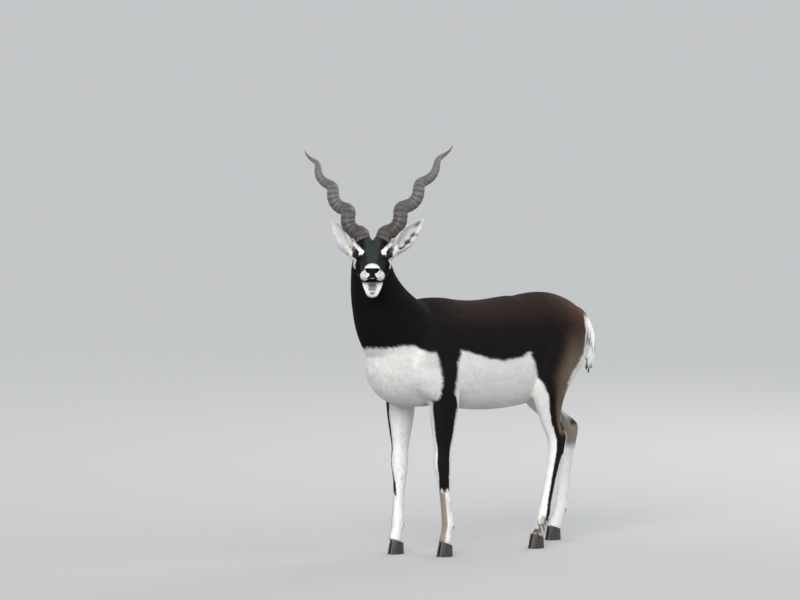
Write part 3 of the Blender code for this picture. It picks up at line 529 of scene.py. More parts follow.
def tail_rows():
    return [
        (*(TAIL_ROOT + Vector((0, -0.045, 0.020))), 0.020, 0.016, 0.016),
        (*(TAIL_ROOT + Vector((0, -0.008, 0.008))), 0.018, 0.014, 0.014),
        (*tail_point(0.22), 0.014, 0.011, 0.011),
        (*tail_point(0.55), 0.012, 0.009, 0.009),
        (*tail_point(0.85), 0.009, 0.006, 0.006),
        (*tail_point(1.02), 0.004, 0.003, 0.003),
    ]


random = np.random.default_rng(11)
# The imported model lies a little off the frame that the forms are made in: one eye's place tells how far
BODY_SHIFT = sum((Vector(corner) / 2 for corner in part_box("eye_left")), Vector()) - in_head(eye_centre(1))


def settle(obj):
    """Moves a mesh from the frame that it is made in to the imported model's."""
    obj.data.transform(Matrix.Translation(BODY_SHIFT))


def placed(name, mesh, replaced=()):
    """An object that rides on the body and the nodes that it stands in for."""
    obj = bpy.data.objects.new(name, mesh)
    bpy.context.scene.collection.objects.link(obj)
    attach(obj, "root")
    if replaced:
        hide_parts(*replaced)
    settle(obj)


def from_bmesh(work, name):
    bmesh.ops.recalc_face_normals(work, faces=work.faces)
    mesh = bpy.data.meshes.new(name)
    work.to_mesh(mesh)
    work.free()
    mesh.shade_smooth()
    return mesh


def vertex_arrays(mesh):
    count = len(mesh.vertices)
    places = np.empty(count * 3)
    mesh.vertices.foreach_get("co", places)
    normals = np.empty(count * 3)
    mesh.vertex_normals.foreach_get("vector", normals)
    return places.reshape(-1, 3), normals.reshape(-1, 3)


def set_places(mesh, places):
    mesh.vertices.foreach_set("co", places.ravel())
    mesh.update()


def set_colours(mesh, colours):
    layer = mesh.color_attributes.new("coat", "FLOAT_COLOR", "POINT")
    full = np.ones((len(colours), 4), np.float32)
    full[:, :3] = colours
    layer.data.foreach_set("color", full.ravel())


def tone(*seen):
    """A colour given as the eye sees it, red, green and blue from 0 to 255, as the shader wants it."""
    return np.array([v / 255 / 12.92 if v <= 10 else ((v / 255 + 0.055) / 1.055) ** 2.4 for v in seen])


# Colours of the coat and the bare skin, and the painted shade inside the nostrils
BLACK = tone(21, 17, 16)
NECK_BLACK = tone(15, 12, 13)
BACK_BROWN = tone(44, 34, 30)
RUMP_BROWN = tone(92, 66, 52)
THIGH_TAN = tone(122, 106, 90)
SHIN_TAN = tone(138, 118, 96)
CALF_TAN = tone(116, 99, 80)
CUFF_BROWN = tone(84, 68, 56)
CLAW = tone(44, 38, 35)
WHITE = tone(233, 233, 230)
FOREHEAD = tone(50, 60, 58)
CROWN = tone(150, 150, 148)
# Painted shade: the nostrils' openings drawn darker than the pad round them
NOSE = tone(15, 13, 15)
NOSTRIL_SHADE = tone(6, 5, 6)
EYE_RIM = tone(20, 15, 14)
TONGUE = tone(128, 118, 128)
# Colours of horns, eyes and ears
HORN_ROOT_GREY, HORN_GREY, HORN_TIP_GREY = tone(76, 70, 67), tone(104, 103, 104), tone(84, 82, 83)
EYE_DARK, IRIS, PUPIL = tone(14, 10, 9), tone(30, 19, 13), tone(4, 4, 5)
EAR_DARK, EAR_PALE, EAR_BACK = tone(70, 72, 76), tone(226, 226, 226), tone(220, 216, 206)


def step(low, high, value):
    """0 at low, 1 at high, with an even passage between."""
    t = np.clip((value - low) / (high - low), 0, 1)
    return t * t * (3 - 2 * t)


def between(value, low, full, fall, high):
    """1 from full to fall, and 0 from low down and from high up."""
    return step(low, full, value) * step(high, fall, value)


def mix(base, colour, share):
    return base + (colour - base) * share[:, None]


def curve(at, places, values, ease=0.010):
    """Values read along a table of places, its corners rounded over the ease."""
    return sum(np.interp(at + ease * k, places, values) for k in (-1, -0.5, 0, 0.5, 1)) / 5


def ripple(places, scale):
    """Smooth unevenness between -1 and 1, from crossed waves."""
    x, y, z = (places * scale).T
    return (
        np.sin(x * 1.0 + 2.1 * np.sin(y * 0.9 + 0.5) + 0.3)
        * np.sin(y * 1.1 + 1.7 * np.sin(z * 1.2 + 1.9))
        + 0.5 * np.sin(z * 2.3 + 1.3 * np.sin(x * 2.1) + 4.0) * np.sin(x * 1.9 - y * 2.2)
    ) / 1.5


def above_coronet(places):
    """Height above the top of the nearest foot's hoof, and that foot's middle."""
    x, y, z = places.T
    feet = np.array([FORE_FEET["left"], FORE_FEET["right"], HIND_FEET["left"], HIND_FEET["right"]])
    own = feet[np.where(y < 0, 0, 2) + np.where(x > 0, 0, 1)]
    return z - CORONET_Z + CORONET_SLOPE * (y - own[:, 1]), own


def dewclaw_share(places):
    """1 on the dewclaws and 0 elsewhere."""
    share = np.zeros(len(places))
    for side in SIDES:
        fore = (FORE_FEET[side][0], fore_line(side)[2][3] + 0.018, 0.087)
        hind = (HIND_FEET[side][0], HIND_FEET[side][1] + 0.041, 0.088)
        for x, y, z in (fore, hind):
            for off in (-DEWCLAW_OUT, DEWCLAW_OUT):
                away = (places - [x + off, y, z]) / [0.0072, 0.0070, 0.0098]
                share = np.maximum(share, step(1.05, 0.85, np.sqrt((away**2).sum(1))))
    return share


def about_leg(places, line, sign):
    """How far behind a leg's middle each place lies, and its bearing: 0 faces forward and 90 outward."""
    x, y, z = places.T
    line_x, line_y = on_line(line, z)
    return y - line_y, np.degrees(np.arctan2((x - line_x) * sign, line_y - y))


def fore_dark(z, off, angle, outer, lowest):
    """How deep each place lies in the dark of the shoulder and of the foreleg's outside."""
    front = curve(z, [0.47, 0.516, 0.55, 0.59, 0.64], [-0.046, -0.043, -0.034, -0.033, -0.055])
    back = curve(z, [0.47, 0.505, 0.54, 0.57, 0.594, 0.64], [0.026, 0.012, 0.026, 0.034, 0.042, 0.060])
    band = np.minimum(np.minimum(off - front, back - off), np.minimum(z - 0.455, outer))
    start = curve(z, [0.17, 0.21, 0.24, 0.27, 0.33, 0.42, 0.48], [-24, -16, 8, 20, 10, 2, 0])
    stop = curve(z, [0.20, 0.27, 0.33, 0.42, 0.46, 0.50], [118, 112, 118, 125, 128, 100])
    lowest = lowest + 0.006 * np.sin(np.radians(angle * 5))
    arc = np.minimum(angle - start, stop - angle) * 0.0004
    arc = np.minimum(arc, np.minimum((z - lowest) * 0.45, (0.485 - z) * 0.8))
    return np.maximum(band, arc)


def hind_dark(z, off, angle, outer):
    """How deep each place lies in the dark of the thigh and of the hind leg's outside."""
    heights = [0.30, 0.38, 0.458, 0.515, 0.561, 0.62, 0.66]
    front = curve(z, heights, [-0.006, -0.017, -0.027, -0.058, -0.106, -0.16, -0.25])
    band = np.minimum(np.minimum(off - front, z - 0.375), outer)
    start = curve(z, [0.10, 0.20, 0.30, 0.36, 0.42], [76, 68, 60, 56, 50])
    heights = [0.10, 0.20, 0.285, 0.305, 0.345, 0.375, 0.42]
    stop = curve(z, heights, [120, 128, 136, 176, 178, 152, 170], 0.006)
    arc = np.minimum(angle - start, stop - angle) * 0.0004
    arc = np.minimum(arc, np.minimum(z - 0.085, 0.41 - z) * 0.8)
    return np.maximum(band, arc)


def hind_tints(z, off, angle, uneven):
    """Shares of the thigh's tan, the brown calf, the dark tendon and the white edge behind the thigh."""
    from_y = curve(z, [0.36, 0.46, 0.54], [0.000, -0.010, -0.052])
    full_y = curve(z, [0.36, 0.46, 0.54], [0.011, 0.010, 0.018])
    tan = step(0, 1, (off - from_y) / (full_y - from_y)) * between(z, 0.34, 0.37, 0.56, 0.70)
    lowest = np.where(angle > 0, step(0.345, 0.37, z), step(0.275, 0.31, z))
    calf = np.where(angle > 0, step(100, 128, angle), step(30, 52, -angle)) * lowest * step(0.47, 0.43, z)
    tendon = step(138, 150, np.abs(angle)) * between(z, 0.352, 0.365, 0.425, 0.45)
    heights = [0.44, 0.486, 0.53, 0.564, 0.602, 0.642, 0.70]
    wedge = curve(z, heights, [0.034, 0.032, 0.040, 0.050, 0.064, 0.088, 0.082])
    edge = step(-0.005, 0.005, off - wedge + uneven * 1.5) * between(z, 0.462, 0.492, 0.69, 0.725)
    return tan, calf, tendon, edge


def foot_marks(colours, places, uneven):
    """The tan front of the lower forelegs, the dark cuffs above the hind hooves, and the dark dewclaws."""
    x, y, z = places.T
    for side, sign in SIDES.items():
        left = side == "left"
        angle = about_leg(places, fore_line(side), sign)[1]
        shin = step(0.212, 0.190, z) * step(66, 46, angle)
        shin *= step(-34, -16, angle) if left else step(14, 32, angle)
        own = (x * sign > 0) & (y < 0) & (z < 0.22)
        colours = mix(colours, SHIN_TAN, np.where(own, shin * 0.9, 0))
        angle = about_leg(places, hind_line(side), sign)[1]
        cuff = step(0.100, 0.078, z + uneven * 5) * step(170, 150, angle)
        cuff *= step(-24, 4, angle) if left else step(20, 44, angle)
        cuff *= 0.35 + 0.6 * step(-0.4, 0.3, ripple(places * [1, 1, 0.3], 190))
        own = (x * sign > 0) & (y > 0) & (z < 0.12)
        colours = mix(colours, CUFF_BROWN, np.where(own, cuff, 0))
    return mix(colours, CLAW, dewclaw_share(places))


def body_colours(places, normals):
    """The pied coat: dark above and down the outside of the limbs, white below, inside and behind."""
    x, y, z = places.T
    out = np.where(x > 0, normals[:, 0], -normals[:, 0])
    uneven = ripple(places, 55) * 0.0035 + ripple(places, 170) * 0.0018
    # The flank line, from the breast round the point of the shoulder to the stifle
    flank_y = [-0.60, -0.45, -0.40, -0.384, -0.35, -0.326, -0.29]
    flank_y += [-0.19, -0.1358, -0.075, -0.0136, 0.0508, 0.0874, 0.12, 0.20]
    flank_z = [0.648, 0.649, 0.654, 0.662, 0.645, 0.633, 0.630]
    flank_z += [0.632, 0.6157, 0.597, 0.592, 0.6015, 0.616, 0.630, 0.64]
    field = z - curve(y, flank_y, flank_z, 0.016)
    outer = step(0, 1, (out + 0.10 - step(0.54, 0.50, z) * 0.25) / 0.32) * 0.1 - 0.09
    tints = np.zeros((4, len(z)))
    for side, sign in SIDES.items():
        own_side = (x > 0) == (sign > 0)
        off, angle = about_leg(places, fore_line(side), sign)
        dark = fore_dark(z, off, angle, outer, 0.203 if side == "left" else 0.184)
        own = own_side & (y < -0.08) & (y > -0.42)
        field = np.where(own, np.maximum(field, dark), field)
        off, angle = about_leg(places, hind_line(side), sign)
        own = own_side & (y > 0.02)
        field = np.where(own, np.maximum(field, hind_dark(z, off, angle, outer)), field)
        tints = np.where(own, hind_tints(z, off, angle, uneven), tints)
    tan, calf, tendon, white_edge = tints
    dark = step(-0.0045, 0.0055, field / (0.3 + 0.7 * step(0.40, 0.56, z)) + uneven)
    rump = step(0.16, 0.36, y + uneven * 4) * step(0.57, 0.72, z + 0.5 * (y - 0.36))
    # White behind, under the tail and between the thighs
    behind = step(0.60, 0.80, normals[:, 1] + 0.45 * step(0.0, -0.5, out) + uneven * 6)
    behind *= between(z, 0.36, 0.42, 0.705, 0.742) * (y > 0.22)
    coat = np.tile(BLACK, (len(z), 1))
    coat = mix(coat, BACK_BROWN, step(0.675, 0.755, z + uneven * 2) * step(-0.30, -0.12, y))
    coat = mix(coat, RUMP_BROWN, rump)
    coat = mix(coat, THIGH_TAN, tan * step(0.10, 0.24, y) * 0.9)
    coat = mix(coat, NECK_BLACK, step(-0.28, -0.36, y))
    colours = mix(np.tile(WHITE, (len(z), 1)), coat, dark)
    colours = mix(colours, CALF_TAN, calf * 0.85)
    colours = mix(colours, BLACK, tendon * 0.85)
    colours = mix(colours, WHITE, np.maximum(behind, white_edge))
    colours = foot_marks(colours, places, uneven)
    return colours * (1 + 0.05 * ripple(places, 120))[:, None]


def off_polyline(a, b, points):
    """Distance of the places (a, b) from a line through the points."""
    nearest = np.full(len(a), 1.0)
    for (a0, b0), (a1, b1) in zip(points, points[1:]):
        span = (a1 - a0) ** 2 + (b1 - b0) ** 2
        t = np.clip(((a - a0) * (a1 - a0) + (b - b0) * (b1 - b0)) / span, 0, 1)
        nearest = np.minimum(nearest, np.hypot(a - a0 - t * (a1 - a0), b - b0 - t * (b1 - b0)))
    return nearest


def from_eye(wide, ahead, up, squeeze=1.0):
    """Distance from the nearer eye's centre."""
    x, y, z = eye_centre(1)
    return np.sqrt(((wide - x) * squeeze) ** 2 + (ahead + y) ** 2 + (up - z) ** 2)


def eye_marks(colours, wide, ahead, up, facing, uneven):
    """White before, over and under the eye and at the ear's foot, and the dark rim of the lids."""
    near_eye = from_eye(wide, ahead, up, 0.75)
    spot = step(0.0090, 0.0066, np.sqrt((wide - 0.0330) ** 2 + (up - 0.006) ** 2) + uneven)
    spot *= between(ahead, -0.03, -0.01, 0.045, 0.055)
    cheek = [(0.038, 0.001), (0.045, -0.006), (0.052, -0.018), (0.0555, -0.030), (0.054, -0.042)]
    line = step(0.0044, 0.0026, off_polyline(wide, up, cheek) + uneven)
    line *= step(0.0178, 0.0190, near_eye) * step(-0.050, -0.042, ahead)
    side = step(-0.012, -0.024, ahead) * step(0.044, 0.050, wide)
    side *= between(up, -0.046, -0.036, 0.004, 0.012)
    off_line = np.abs((up - 0.007) - (wide - 0.0330) * 1.25) * 0.62
    stripe = step(0.0068, 0.0046, off_line + uneven) * step(0.029, 0.033, wide)
    stripe *= step(-0.085, -0.070, ahead) * step(0.0165, 0.0180, near_eye)
    ear_foot = step(0.058, 0.064, wide) * step(-0.004, 0.006, up)
    ear_foot *= step(-0.30, 0.10, -facing[:, 1]) * step(-0.020, -0.030, ahead)
    corner = step(0.0055, 0.0040, np.abs(up + 0.002)) * step(0.0425, 0.0440, wide)
    corner *= between(ahead, -0.02, 0.0, 0.026, 0.030)
    for colour, share in (
        (WHITE, spot),
        (WHITE, np.maximum(line, side)),
        (WHITE, stripe),
        (WHITE, ear_foot * 0.9),
        (EYE_RIM, np.maximum(step(0.0185, 0.0170, near_eye), corner)),
    ):
        colours = mix(colours, colour, share)
    return colours


def muzzle_marks(colours, wide, ahead, up, facing, uneven):
    """White over the nose, on the lips and chin, the jaw's gum, the dark pad, and painted shade in the
    nostrils' slits.
    """
    over_nose = step(0.098, 0.106, ahead + uneven) * step(-0.049, -0.044, up)
    lips = step(0.058, 0.070, ahead + (wide - 0.02) * 0.3 + uneven * 2)
    lips *= step(-0.048, -0.056, up - (wide - 0.02) * 0.2 - 0.010 * step(0.088, 0.104, ahead))
    chin = step(0.030, 0.045, ahead + uneven * 2) * step(-0.082, -0.090, up)
    reach = np.interp(up, [-0.126, -0.112, -0.092], [0.005, 0.0105, 0.0125])
    gum = step(0.0025, -0.0025, wide + uneven * 2 - reach) * between(up, -0.128, -0.120, -0.092, -0.086)
    gum *= step(-0.05, 0.15, facing[:, 2] - facing[:, 1])
    heights = [-0.095, -0.086, -0.078, -0.071, -0.0655, -0.061, -0.057, -0.049, -0.043]
    reach = np.interp(up, heights, [0.0185, 0.0200, 0.0180, 0.0140, 0.0090, 0.0085, 0.0170, 0.0225, 0.0190])
    pad = step(0.112, 0.120, ahead) * step(0.0012, -0.0012, wide - reach + uneven * 0.7)
    pad *= between(up, -0.096, -0.090, -0.0455, -0.042)
    # Painted shade along the nostrils' slits, which are only shallow dents in the pad
    nostril_shade = np.abs(up - np.interp(wide, [0.010, 0.0165, 0.022], [-0.0535, -0.0500, -0.0470]))
    nostril_shade = step(0.0030, 0.0018, nostril_shade) * between(wide, 0.0090, 0.0105, 0.0220, 0.0235)
    nostril_shade *= step(0.116, 0.120, ahead)
    for colour, share in (
        (WHITE, over_nose),
        (WHITE, lips),
        (WHITE, chin),
        (TONGUE, gum * chin),
        (NOSE, pad),
        (NOSTRIL_SHADE, nostril_shade),
    ):
        colours = mix(colours, colour, share)
    return colours


def head_colours(places, normals):
    """The face, painted in the head's own frame: wide to the sides, ahead to the nose, and up."""
    local = from_head(places)
    facing = normals @ np.array(IN_HEAD.to_3x3()).T
    wide, ahead, up = np.abs(local[:, 0]), -local[:, 1], local[:, 2]
    uneven = ripple(places, 120) * 0.0010 + ripple(places, 330) * 0.0005
    # Slate forehead and a pale crown between the horns
    half = np.interp(ahead, [-0.03, 0.02, 0.06, 0.10], [0.026, 0.025, 0.019, 0.014])
    brow = step(0.004, -0.009, wide - half + uneven * 2) * between(ahead, -0.075, -0.045, 0.085, 0.104)
    brow *= step(-0.1, 0.25, facing[:, 2] - facing[:, 1] * 0.3)
    crown = step(0.013, 0.005, wide) * between(ahead, -0.050, -0.034, -0.026, -0.018)
    crown *= step(0.0, 0.4, facing[:, 2])
    colours = mix(np.tile(NECK_BLACK, (len(wide), 1)), FOREHEAD, brow)
    colours = mix(colours, CROWN, crown * 0.7)
    colours = eye_marks(colours, wide, ahead, up, facing, uneven)
    return muzzle_marks(colours, wide, ahead, up, facing, uneven), local


def lie_of_coat(places):
    """Which way the body's hair points: back along the trunk, and down the neck and legs."""
    x, y, z = places.T
    way = np.stack([np.zeros(len(x)), np.ones(len(x)), -0.35 * np.ones(len(x))], 1)
    legs = step(0.55, 0.42, z)[:, None]
    way = way * (1 - legs) + np.array([0, 0.18, -1.0]) * legs
    neck_share = (step(-0.28, -0.40, y) * step(0.62, 0.72, z))[:, None]
    way = way * (1 - neck_share) + np.array([0, 0.45, -0.9]) * neck_share
    return way


def lie_of_face(local):
    """Which way the face's hair points: back from the nose, outward and a little up."""
    way = np.stack([local[:, 0] * 4, np.ones(len(local)), 0.25 * np.ones(len(local))], 1)
    return way @ np.array(HEAD.to_3x3()).T


def scattered(mesh, count, weight=None):
    """Seeded random places over a mesh, spread as its weight says, with normals and a vertex near each."""
    places, normals = vertex_arrays(mesh)
    mesh.calc_loop_triangles()
    index = np.empty(len(mesh.loop_triangles) * 3, int)
    mesh.loop_triangles.foreach_get("vertices", index)
    index = index.reshape(-1, 3)
    a, b, c = places[index[:, 0]], places[index[:, 1]], places[index[:, 2]]
    area = np.linalg.norm(np.cross(b - a, c - a), axis=1)
    if weight is not None:
        area = area * weight[index].mean(1)
    chosen = random.choice(len(area), count, p=area / area.sum())
    r1, r2 = np.sqrt(random.random(count)), random.random(count)
    u, v, w = 1 - r1, r1 * (1 - r2), r1 * r2
    tri = index[chosen]
    roots, facing = (
        data[tri[:, 0]] * u[:, None] + data[tri[:, 1]] * v[:, None] + data[tri[:, 2]] * w[:, None]
        for data in (places, normals)
    )
    return roots, facing / np.linalg.norm(facing, axis=1)[:, None], tri[:, 0]


def share_round(a, b):
    """The bearing of (a, b) as a share of a turn."""
    return np.arctan2(a, b) / (2 * math.pi) + 0.5


def unwrapped(places):
    """Places on an unwrap of the body's shape: trunk, neck and each leg rolled out side by side."""
    x, y, z = places.T
    u = 0.02 + 0.46 * share_round(x, z - 0.60)
    v = 0.02 + 0.46 * np.clip((y + 0.55) / 0.95, 0, 1)
    high = (z > 0.74) & (y < -0.25)
    u = np.where(high, 0.52 + 0.46 * share_round(x, y + 0.43), u)
    v = np.where(high, 0.02 + 0.46 * np.clip((z - 0.74) / 0.35, 0, 1), v)
    legs = [(side, line, line is fore_line) for line in (fore_line, hind_line) for side in SIDES]
    for k, (side, line, fore) in enumerate(legs):
        own = (z < 0.46) & ((x > 0) == (side == "left")) & ((y < -0.05) == fore)
        line_x, line_y = on_line(line(side), z)
        u = np.where(own, 0.02 + 0.24 * k + 0.22 * share_round(x - line_x, y - line_y), u)
        v = np.where(own, 0.52 + 0.46 * np.clip(z / 0.46, 0, 1), v)
    return np.stack([u, v], 1)


def tuft_meshes(name, roots, normals, ways, lengths, widths, lift, colours, uvs, material):
    """Closed thin spikes that lie along the coat, as joined meshes of a limited size."""
    ways = ways - (ways * normals).sum(1)[:, None] * normals
    ways /= np.linalg.norm(ways, axis=1)[:, None]
    ways = ways + np.cross(normals, ways) * random.normal(0, 0.14, len(roots))[:, None]
    ways /= np.linalg.norm(ways, axis=1)[:, None]
    across = np.cross(normals, ways)
    lengths = (lengths * random.uniform(0.7, 1.3, len(roots)))[:, None]
    widths = (widths * random.uniform(0.8, 1.2, len(roots)))[:, None]
    pale = colours.mean(1)
    shade = 1 + random.uniform(-1, 1, len(roots)) * np.interp(pale, [0.0, 0.6], [0.30, 0.02])
    order = np.argsort(np.round(uvs[:, 1] * 12) + uvs[:, 0] * 0.5, kind="stable")
    patch = np.array([[0, 0], [1, 0], [0.5, 0.4], [0.5, 1]]) * 0.003
    sides = np.array([0, 2, 1, 0, 1, 3, 1, 2, 3, 2, 0, 3])
    for k, part in enumerate(np.array_split(order, max(1, math.ceil(len(order) / PIECE_TUFTS)))):
        root = roots[part] - normals[part] * 0.0010
        width = widths[part]
        tip = roots[part] + ways[part] * lengths[part] + normals[part] * lift[part][:, None]
        ridge = root + normals[part] * (width * 0.6 + 0.0012)
        ends = [root - across[part] * width, root + across[part] * width, ridge, tip]
        count = len(part)
        verts = np.stack(ends, 1).reshape(-1, 3)
        loops = (sides[None] + (np.arange(count) * 4)[:, None]).ravel()
        mesh = bpy.data.meshes.new(f"{name}_{k}")
        mesh.vertices.add(len(verts))
        mesh.vertices.foreach_set("co", verts.ravel())
        mesh.loops.add(len(loops))
        mesh.loops.foreach_set("vertex_index", loops)
        mesh.polygons.add(count * 4)
        mesh.polygons.foreach_set("loop_start", np.arange(count * 4) * 3)
        mesh.update(calc_edges=True)
        corner = (uvs[part][:, None, :] + patch[None]).reshape(-1, 2)
        layer = mesh.uv_layers.new(name="OFBake")
        layer.data.foreach_set("uv", corner[loops].ravel())
        tint = np.repeat(colours[part] * shade[part][:, None], 4, axis=0)
        set_colours(mesh, np.clip(tint, 0, 1))
        mesh.shade_smooth()
        leaning = normals[part] + random.normal(0, 0.06, (count, 3))
        leaning /= np.linalg.norm(leaning, axis=1)[:, None]
        mesh.normals_split_custom_set_from_vertices(np.repeat(leaning, 4, axis=0).tolist())
        mesh.materials.append(material)
        placed(f"{name}_{k}", mesh)


def shader_material(name, roughness):
    made = bpy.data.materials.new(name)
    made.use_nodes = True
    nodes = made.node_tree.nodes
    shader = nodes["Principled BSDF"]
    shader.inputs["Roughness"].default_value = roughness
    return made, nodes, made.node_tree.links, shader


def painted(nodes):
    """The colours painted on the mesh."""
    paint = nodes.new("ShaderNodeVertexColor")
    paint.layer_name = "coat"
    return paint.outputs["Color"]


def noise(nodes, links, scale, detail, stretch=(1, 1, 1)):
    """A noise texture on the object's own coordinates, drawn out along the axes."""
    where = nodes.new("ShaderNodeTexCoord")
    mapping = nodes.new("ShaderNodeMapping")
    mapping.inputs["Scale"].default_value = stretch
    texture = nodes.new("ShaderNodeTexNoise")
    texture.inputs["Scale"].default_value = scale
    texture.inputs["Detail"].default_value = detail
    links.new(where.outputs["Object"], mapping.inputs["Vector"])
    links.new(mapping.outputs["Vector"], texture.inputs["Vector"])
    return texture.outputs["Fac"]


def maths(nodes, links, kind, *values):
    node = nodes.new("ShaderNodeMath")
    node.operation = kind
    for socket, value in zip(node.inputs, values):
        if isinstance(value, (int, float)):
            socket.default_value = value
        else:
            links.new(value, socket)
    return node.outputs[0]


def ramped(nodes, links, share, low, high, ends=(0, 1)):
    """A colour that passes from low to high while the share passes between the ends."""
    ramp = nodes.new("ShaderNodeValToRGB")
    for stop, colour, at in zip(ramp.color_ramp.elements, (low, high), ends):
        stop.position = at
        stop.color = (*colour, 1)
    links.new(share, ramp.inputs["Fac"])
    return ramp.outputs["Color"]


def multiplied(nodes, links, shader, first, second, share):
    """Gives the shader one colour times the other."""
    tint = nodes.new("ShaderNodeMix")
    tint.data_type = "RGBA"
    tint.blend_type = "MULTIPLY"
    tint.inputs["Factor"].default_value = share
    links.new(first, tint.inputs["A"])
    links.new(second, tint.inputs["B"])
    links.new(tint.outputs["Result"], shader.inputs["Base Color"])


def bumped(nodes, links, shader, height, strength, distance):
    bump = nodes.new("ShaderNodeBump")
    bump.inputs["Strength"].default_value = strength
    bump.inputs["Distance"].default_value = distance
    links.new(height, bump.inputs["Height"])
    links.new(bump.outputs["Normal"], shader.inputs["Normal"])


def coat_material():
    """Short hair: the painted markings, broken up finely along the lie of the coat, with a faint sheen."""
    made, nodes, links, shader = shader_material("coat", 0.72)
    fine = noise(nodes, links, 1.0, 4, (420, 90, 260))
    broad = noise(nodes, links, 38, 3)
    fine_share = maths(nodes, links, "MULTIPLY_ADD", fine, 0.3, 0.85)
    broad_share = maths(nodes, links, "MULTIPLY_ADD", broad, 0.1, 0.95)
    grey = maths(nodes, links, "MULTIPLY", fine_share, broad_share)
    multiplied(nodes, links, shader, painted(nodes), grey, 1)
    shader.inputs["Specular IOR Level"].default_value = 0.15
    shader.inputs["Sheen Weight"].default_value = 0.03
    shader.inputs["Sheen Roughness"].default_value = 0.4
    bumped(nodes, links, shader, fine, 0.55, 0.0012)
    return made


def horn_material():
    """Ringed horn: the painted grey-brown, streaked along its length."""
    made, nodes, links, shader = shader_material("horn", 0.5)
    streak = noise(nodes, links, 1.0, 4, (160, 160, 60))
    streaked = ramped(nodes, links, streak, (0.35, 0.33, 0.32), (1.35, 1.3, 1.25))
    multiplied(nodes, links, shader, painted(nodes), streaked, 0.75)
    bumped(nodes, links, shader, streak, 0.4, 0.0012)
    return made


def eye_material():
    """The painted iris and pupil under a wet gloss."""
    made, nodes, links, shader = shader_material("eye", 0.12)
    links.new(painted(nodes), shader.inputs["Base Color"])
    shader.inputs["Specular IOR Level"].default_value = 0.35
    return made


def flecked_material(name, roughness, pattern, low, high, ends=(0, 1), bump=()):
    """A finish that wanders between two colours with a noise: its scale, detail and stretch."""
    made, nodes, links, shader = shader_material(name, roughness)
    fleck = noise(nodes, links, *pattern)
    links.new(ramped(nodes, links, fleck, low, high, ends), shader.inputs["Base Color"])
    if bump:
        bumped(nodes, links, shader, fleck, *bump)
    return made


def fine_dents():
    """Comma-shaped nostrils, the crease behind each, and the hollow before the eye."""
    return [
        ((x * sign, y, z), reach, (push_x * sign, push_y, push_z))
        for sign in SIDES.values()
        for (x, y, z), reach, (push_x, push_y, push_z) in (
            ((0.0120, -0.1365, -0.0530), (0.0036, 0.006, 0.0028), (0, 0.006, 0.0008)),
            ((0.0165, -0.1320, -0.0500), (0.0036, 0.006, 0.0028), (-0.002, 0.008, 0)),
            ((0.0205, -0.1250, -0.0475), (0.0036, 0.006, 0.0028), (-0.006, 0.004, 0)),
            ((0.0215, -0.1180, -0.0520), (0.0040, 0.004, 0.0070), (-0.0012, 0, 0)),
            ((0.0460, -0.0165, -0.0035), (0.006, 0.005, 0.0022), (-0.0030, 0.001, 0)),
        )
    ]


def fine_lids(sign):
    """Almond-shaped lids drawn out to a corner in front, the upper one heavier."""
    half_length, half_height, steps = 0.0150, 0.0104, 48
    looks = Vector((0.90 * sign, -0.40, 0.10)).normalized()
    forward = Vector((0, -1, -0.30))
    forward = (forward - forward.dot(looks) * looks).normalized()
    up = looks.cross(forward) * sign
    points = []
    for i in range(steps + 1):
        a = 2 * math.pi * i / steps
        along = half_length * math.cos(a)
        rise = half_height * math.sin(a) * (1 - 0.20 * math.cos(a) ** 2)
        if along > 0:
            along *= 1 + 0.16 * math.cos(a) ** 4
        bulge = math.sqrt(max(EYE_RADIUS**2 - along**2 - rise**2, 0.003**2))
        thick = 0.0021 + 0.0009 * max(0.0, math.sin(a))
        place = eye_centre(sign) + forward * along + up * rise + looks * (bulge + 0.0002)
        points.append((*place, thick, thick, thick))
    form = limb(points, 110, 12, side_hint=looks, power=2)
    bmesh.ops.transform(form, matrix=HEAD, verts=form.verts)
    return form


def dressed(obj, coat, colours):
    """The skin with its colours, finish and slot, riding on the body."""
    set_colours(obj.data, np.clip(colours, 0, 1))
    obj.data.materials.clear()
    obj.data.materials.append(coat)
    obj.data.shade_smooth()
    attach(obj, "root")
    return obj


def build_body_skin(coat):
    """One skin over trunk, neck, tail root and legs."""
    forms = [trunk(), neck()]
    for side, sign in SIDES.items():
        forms += shoulder(sign) + foreleg(side) + hindleg(side)
    forms.append(limb(tail_rows()[:3], 10, 16))
    body = fused("skin_body", forms, BODY_VOXEL)
    ease(body, joint_zones(), 0.3, 44)
    places, normals = vertex_arrays(body.data)
    depth = np.interp(places[:, 2], [0.0, 0.30, 0.50], [0.0012, 0.0016, COAT_DEPTH])
    places = places - normals * depth[:, None]
    # Inside the hooves the legs draw in, so that no skin shows through the horn
    height, own = above_coronet(places)
    drawn = (step(0.001, -0.004, height) * (places[:, 2] < 0.08) * 0.45)[:, None]
    places[:, :2] += (own - places[:, :2]) * drawn
    set_places(body.data, places)
    return dressed(body, coat, body_colours(*vertex_arrays(body.data)))


def past_nape(local):
    """How far a place of the head's frame lies beyond its middle, down the neck."""
    return local[:, 1] * 0.80 - local[:, 2] * 0.6


def build_head_skin(coat):
    """A finer skin over the head, which runs down inside the neck and is cut off there."""
    head = fused("skin_head", [neck(), *skull(), fine_lids(1), fine_lids(-1)], HEAD_VOXEL)
    ease(head, [((0.02, -0.43, 0.93), 0.07, 0.9)], 0.3, 16)
    press(head, face_dents() + fine_dents())
    places, normals = vertex_arrays(head.data)
    inner = step(0.06, 0.10, past_nape(from_head(places))) * 0.004
    set_places(head.data, places - normals * (FACE_DEPTH + inner)[:, None])
    cut = bmesh.new()
    cut.from_mesh(head.data)
    bmesh.ops.bisect_plane(
        cut,
        geom=cut.verts[:] + cut.edges[:] + cut.faces[:],
        plane_co=in_head((0, 0.100, -0.060)),
        plane_no=in_head((0, 0.62, -0.45), True),
        clear_outer=True,
    )
    cut.to_mesh(head.data)
    cut.free()
    return dressed(head, coat, head_colours(*vertex_arrays(head.data))[0])


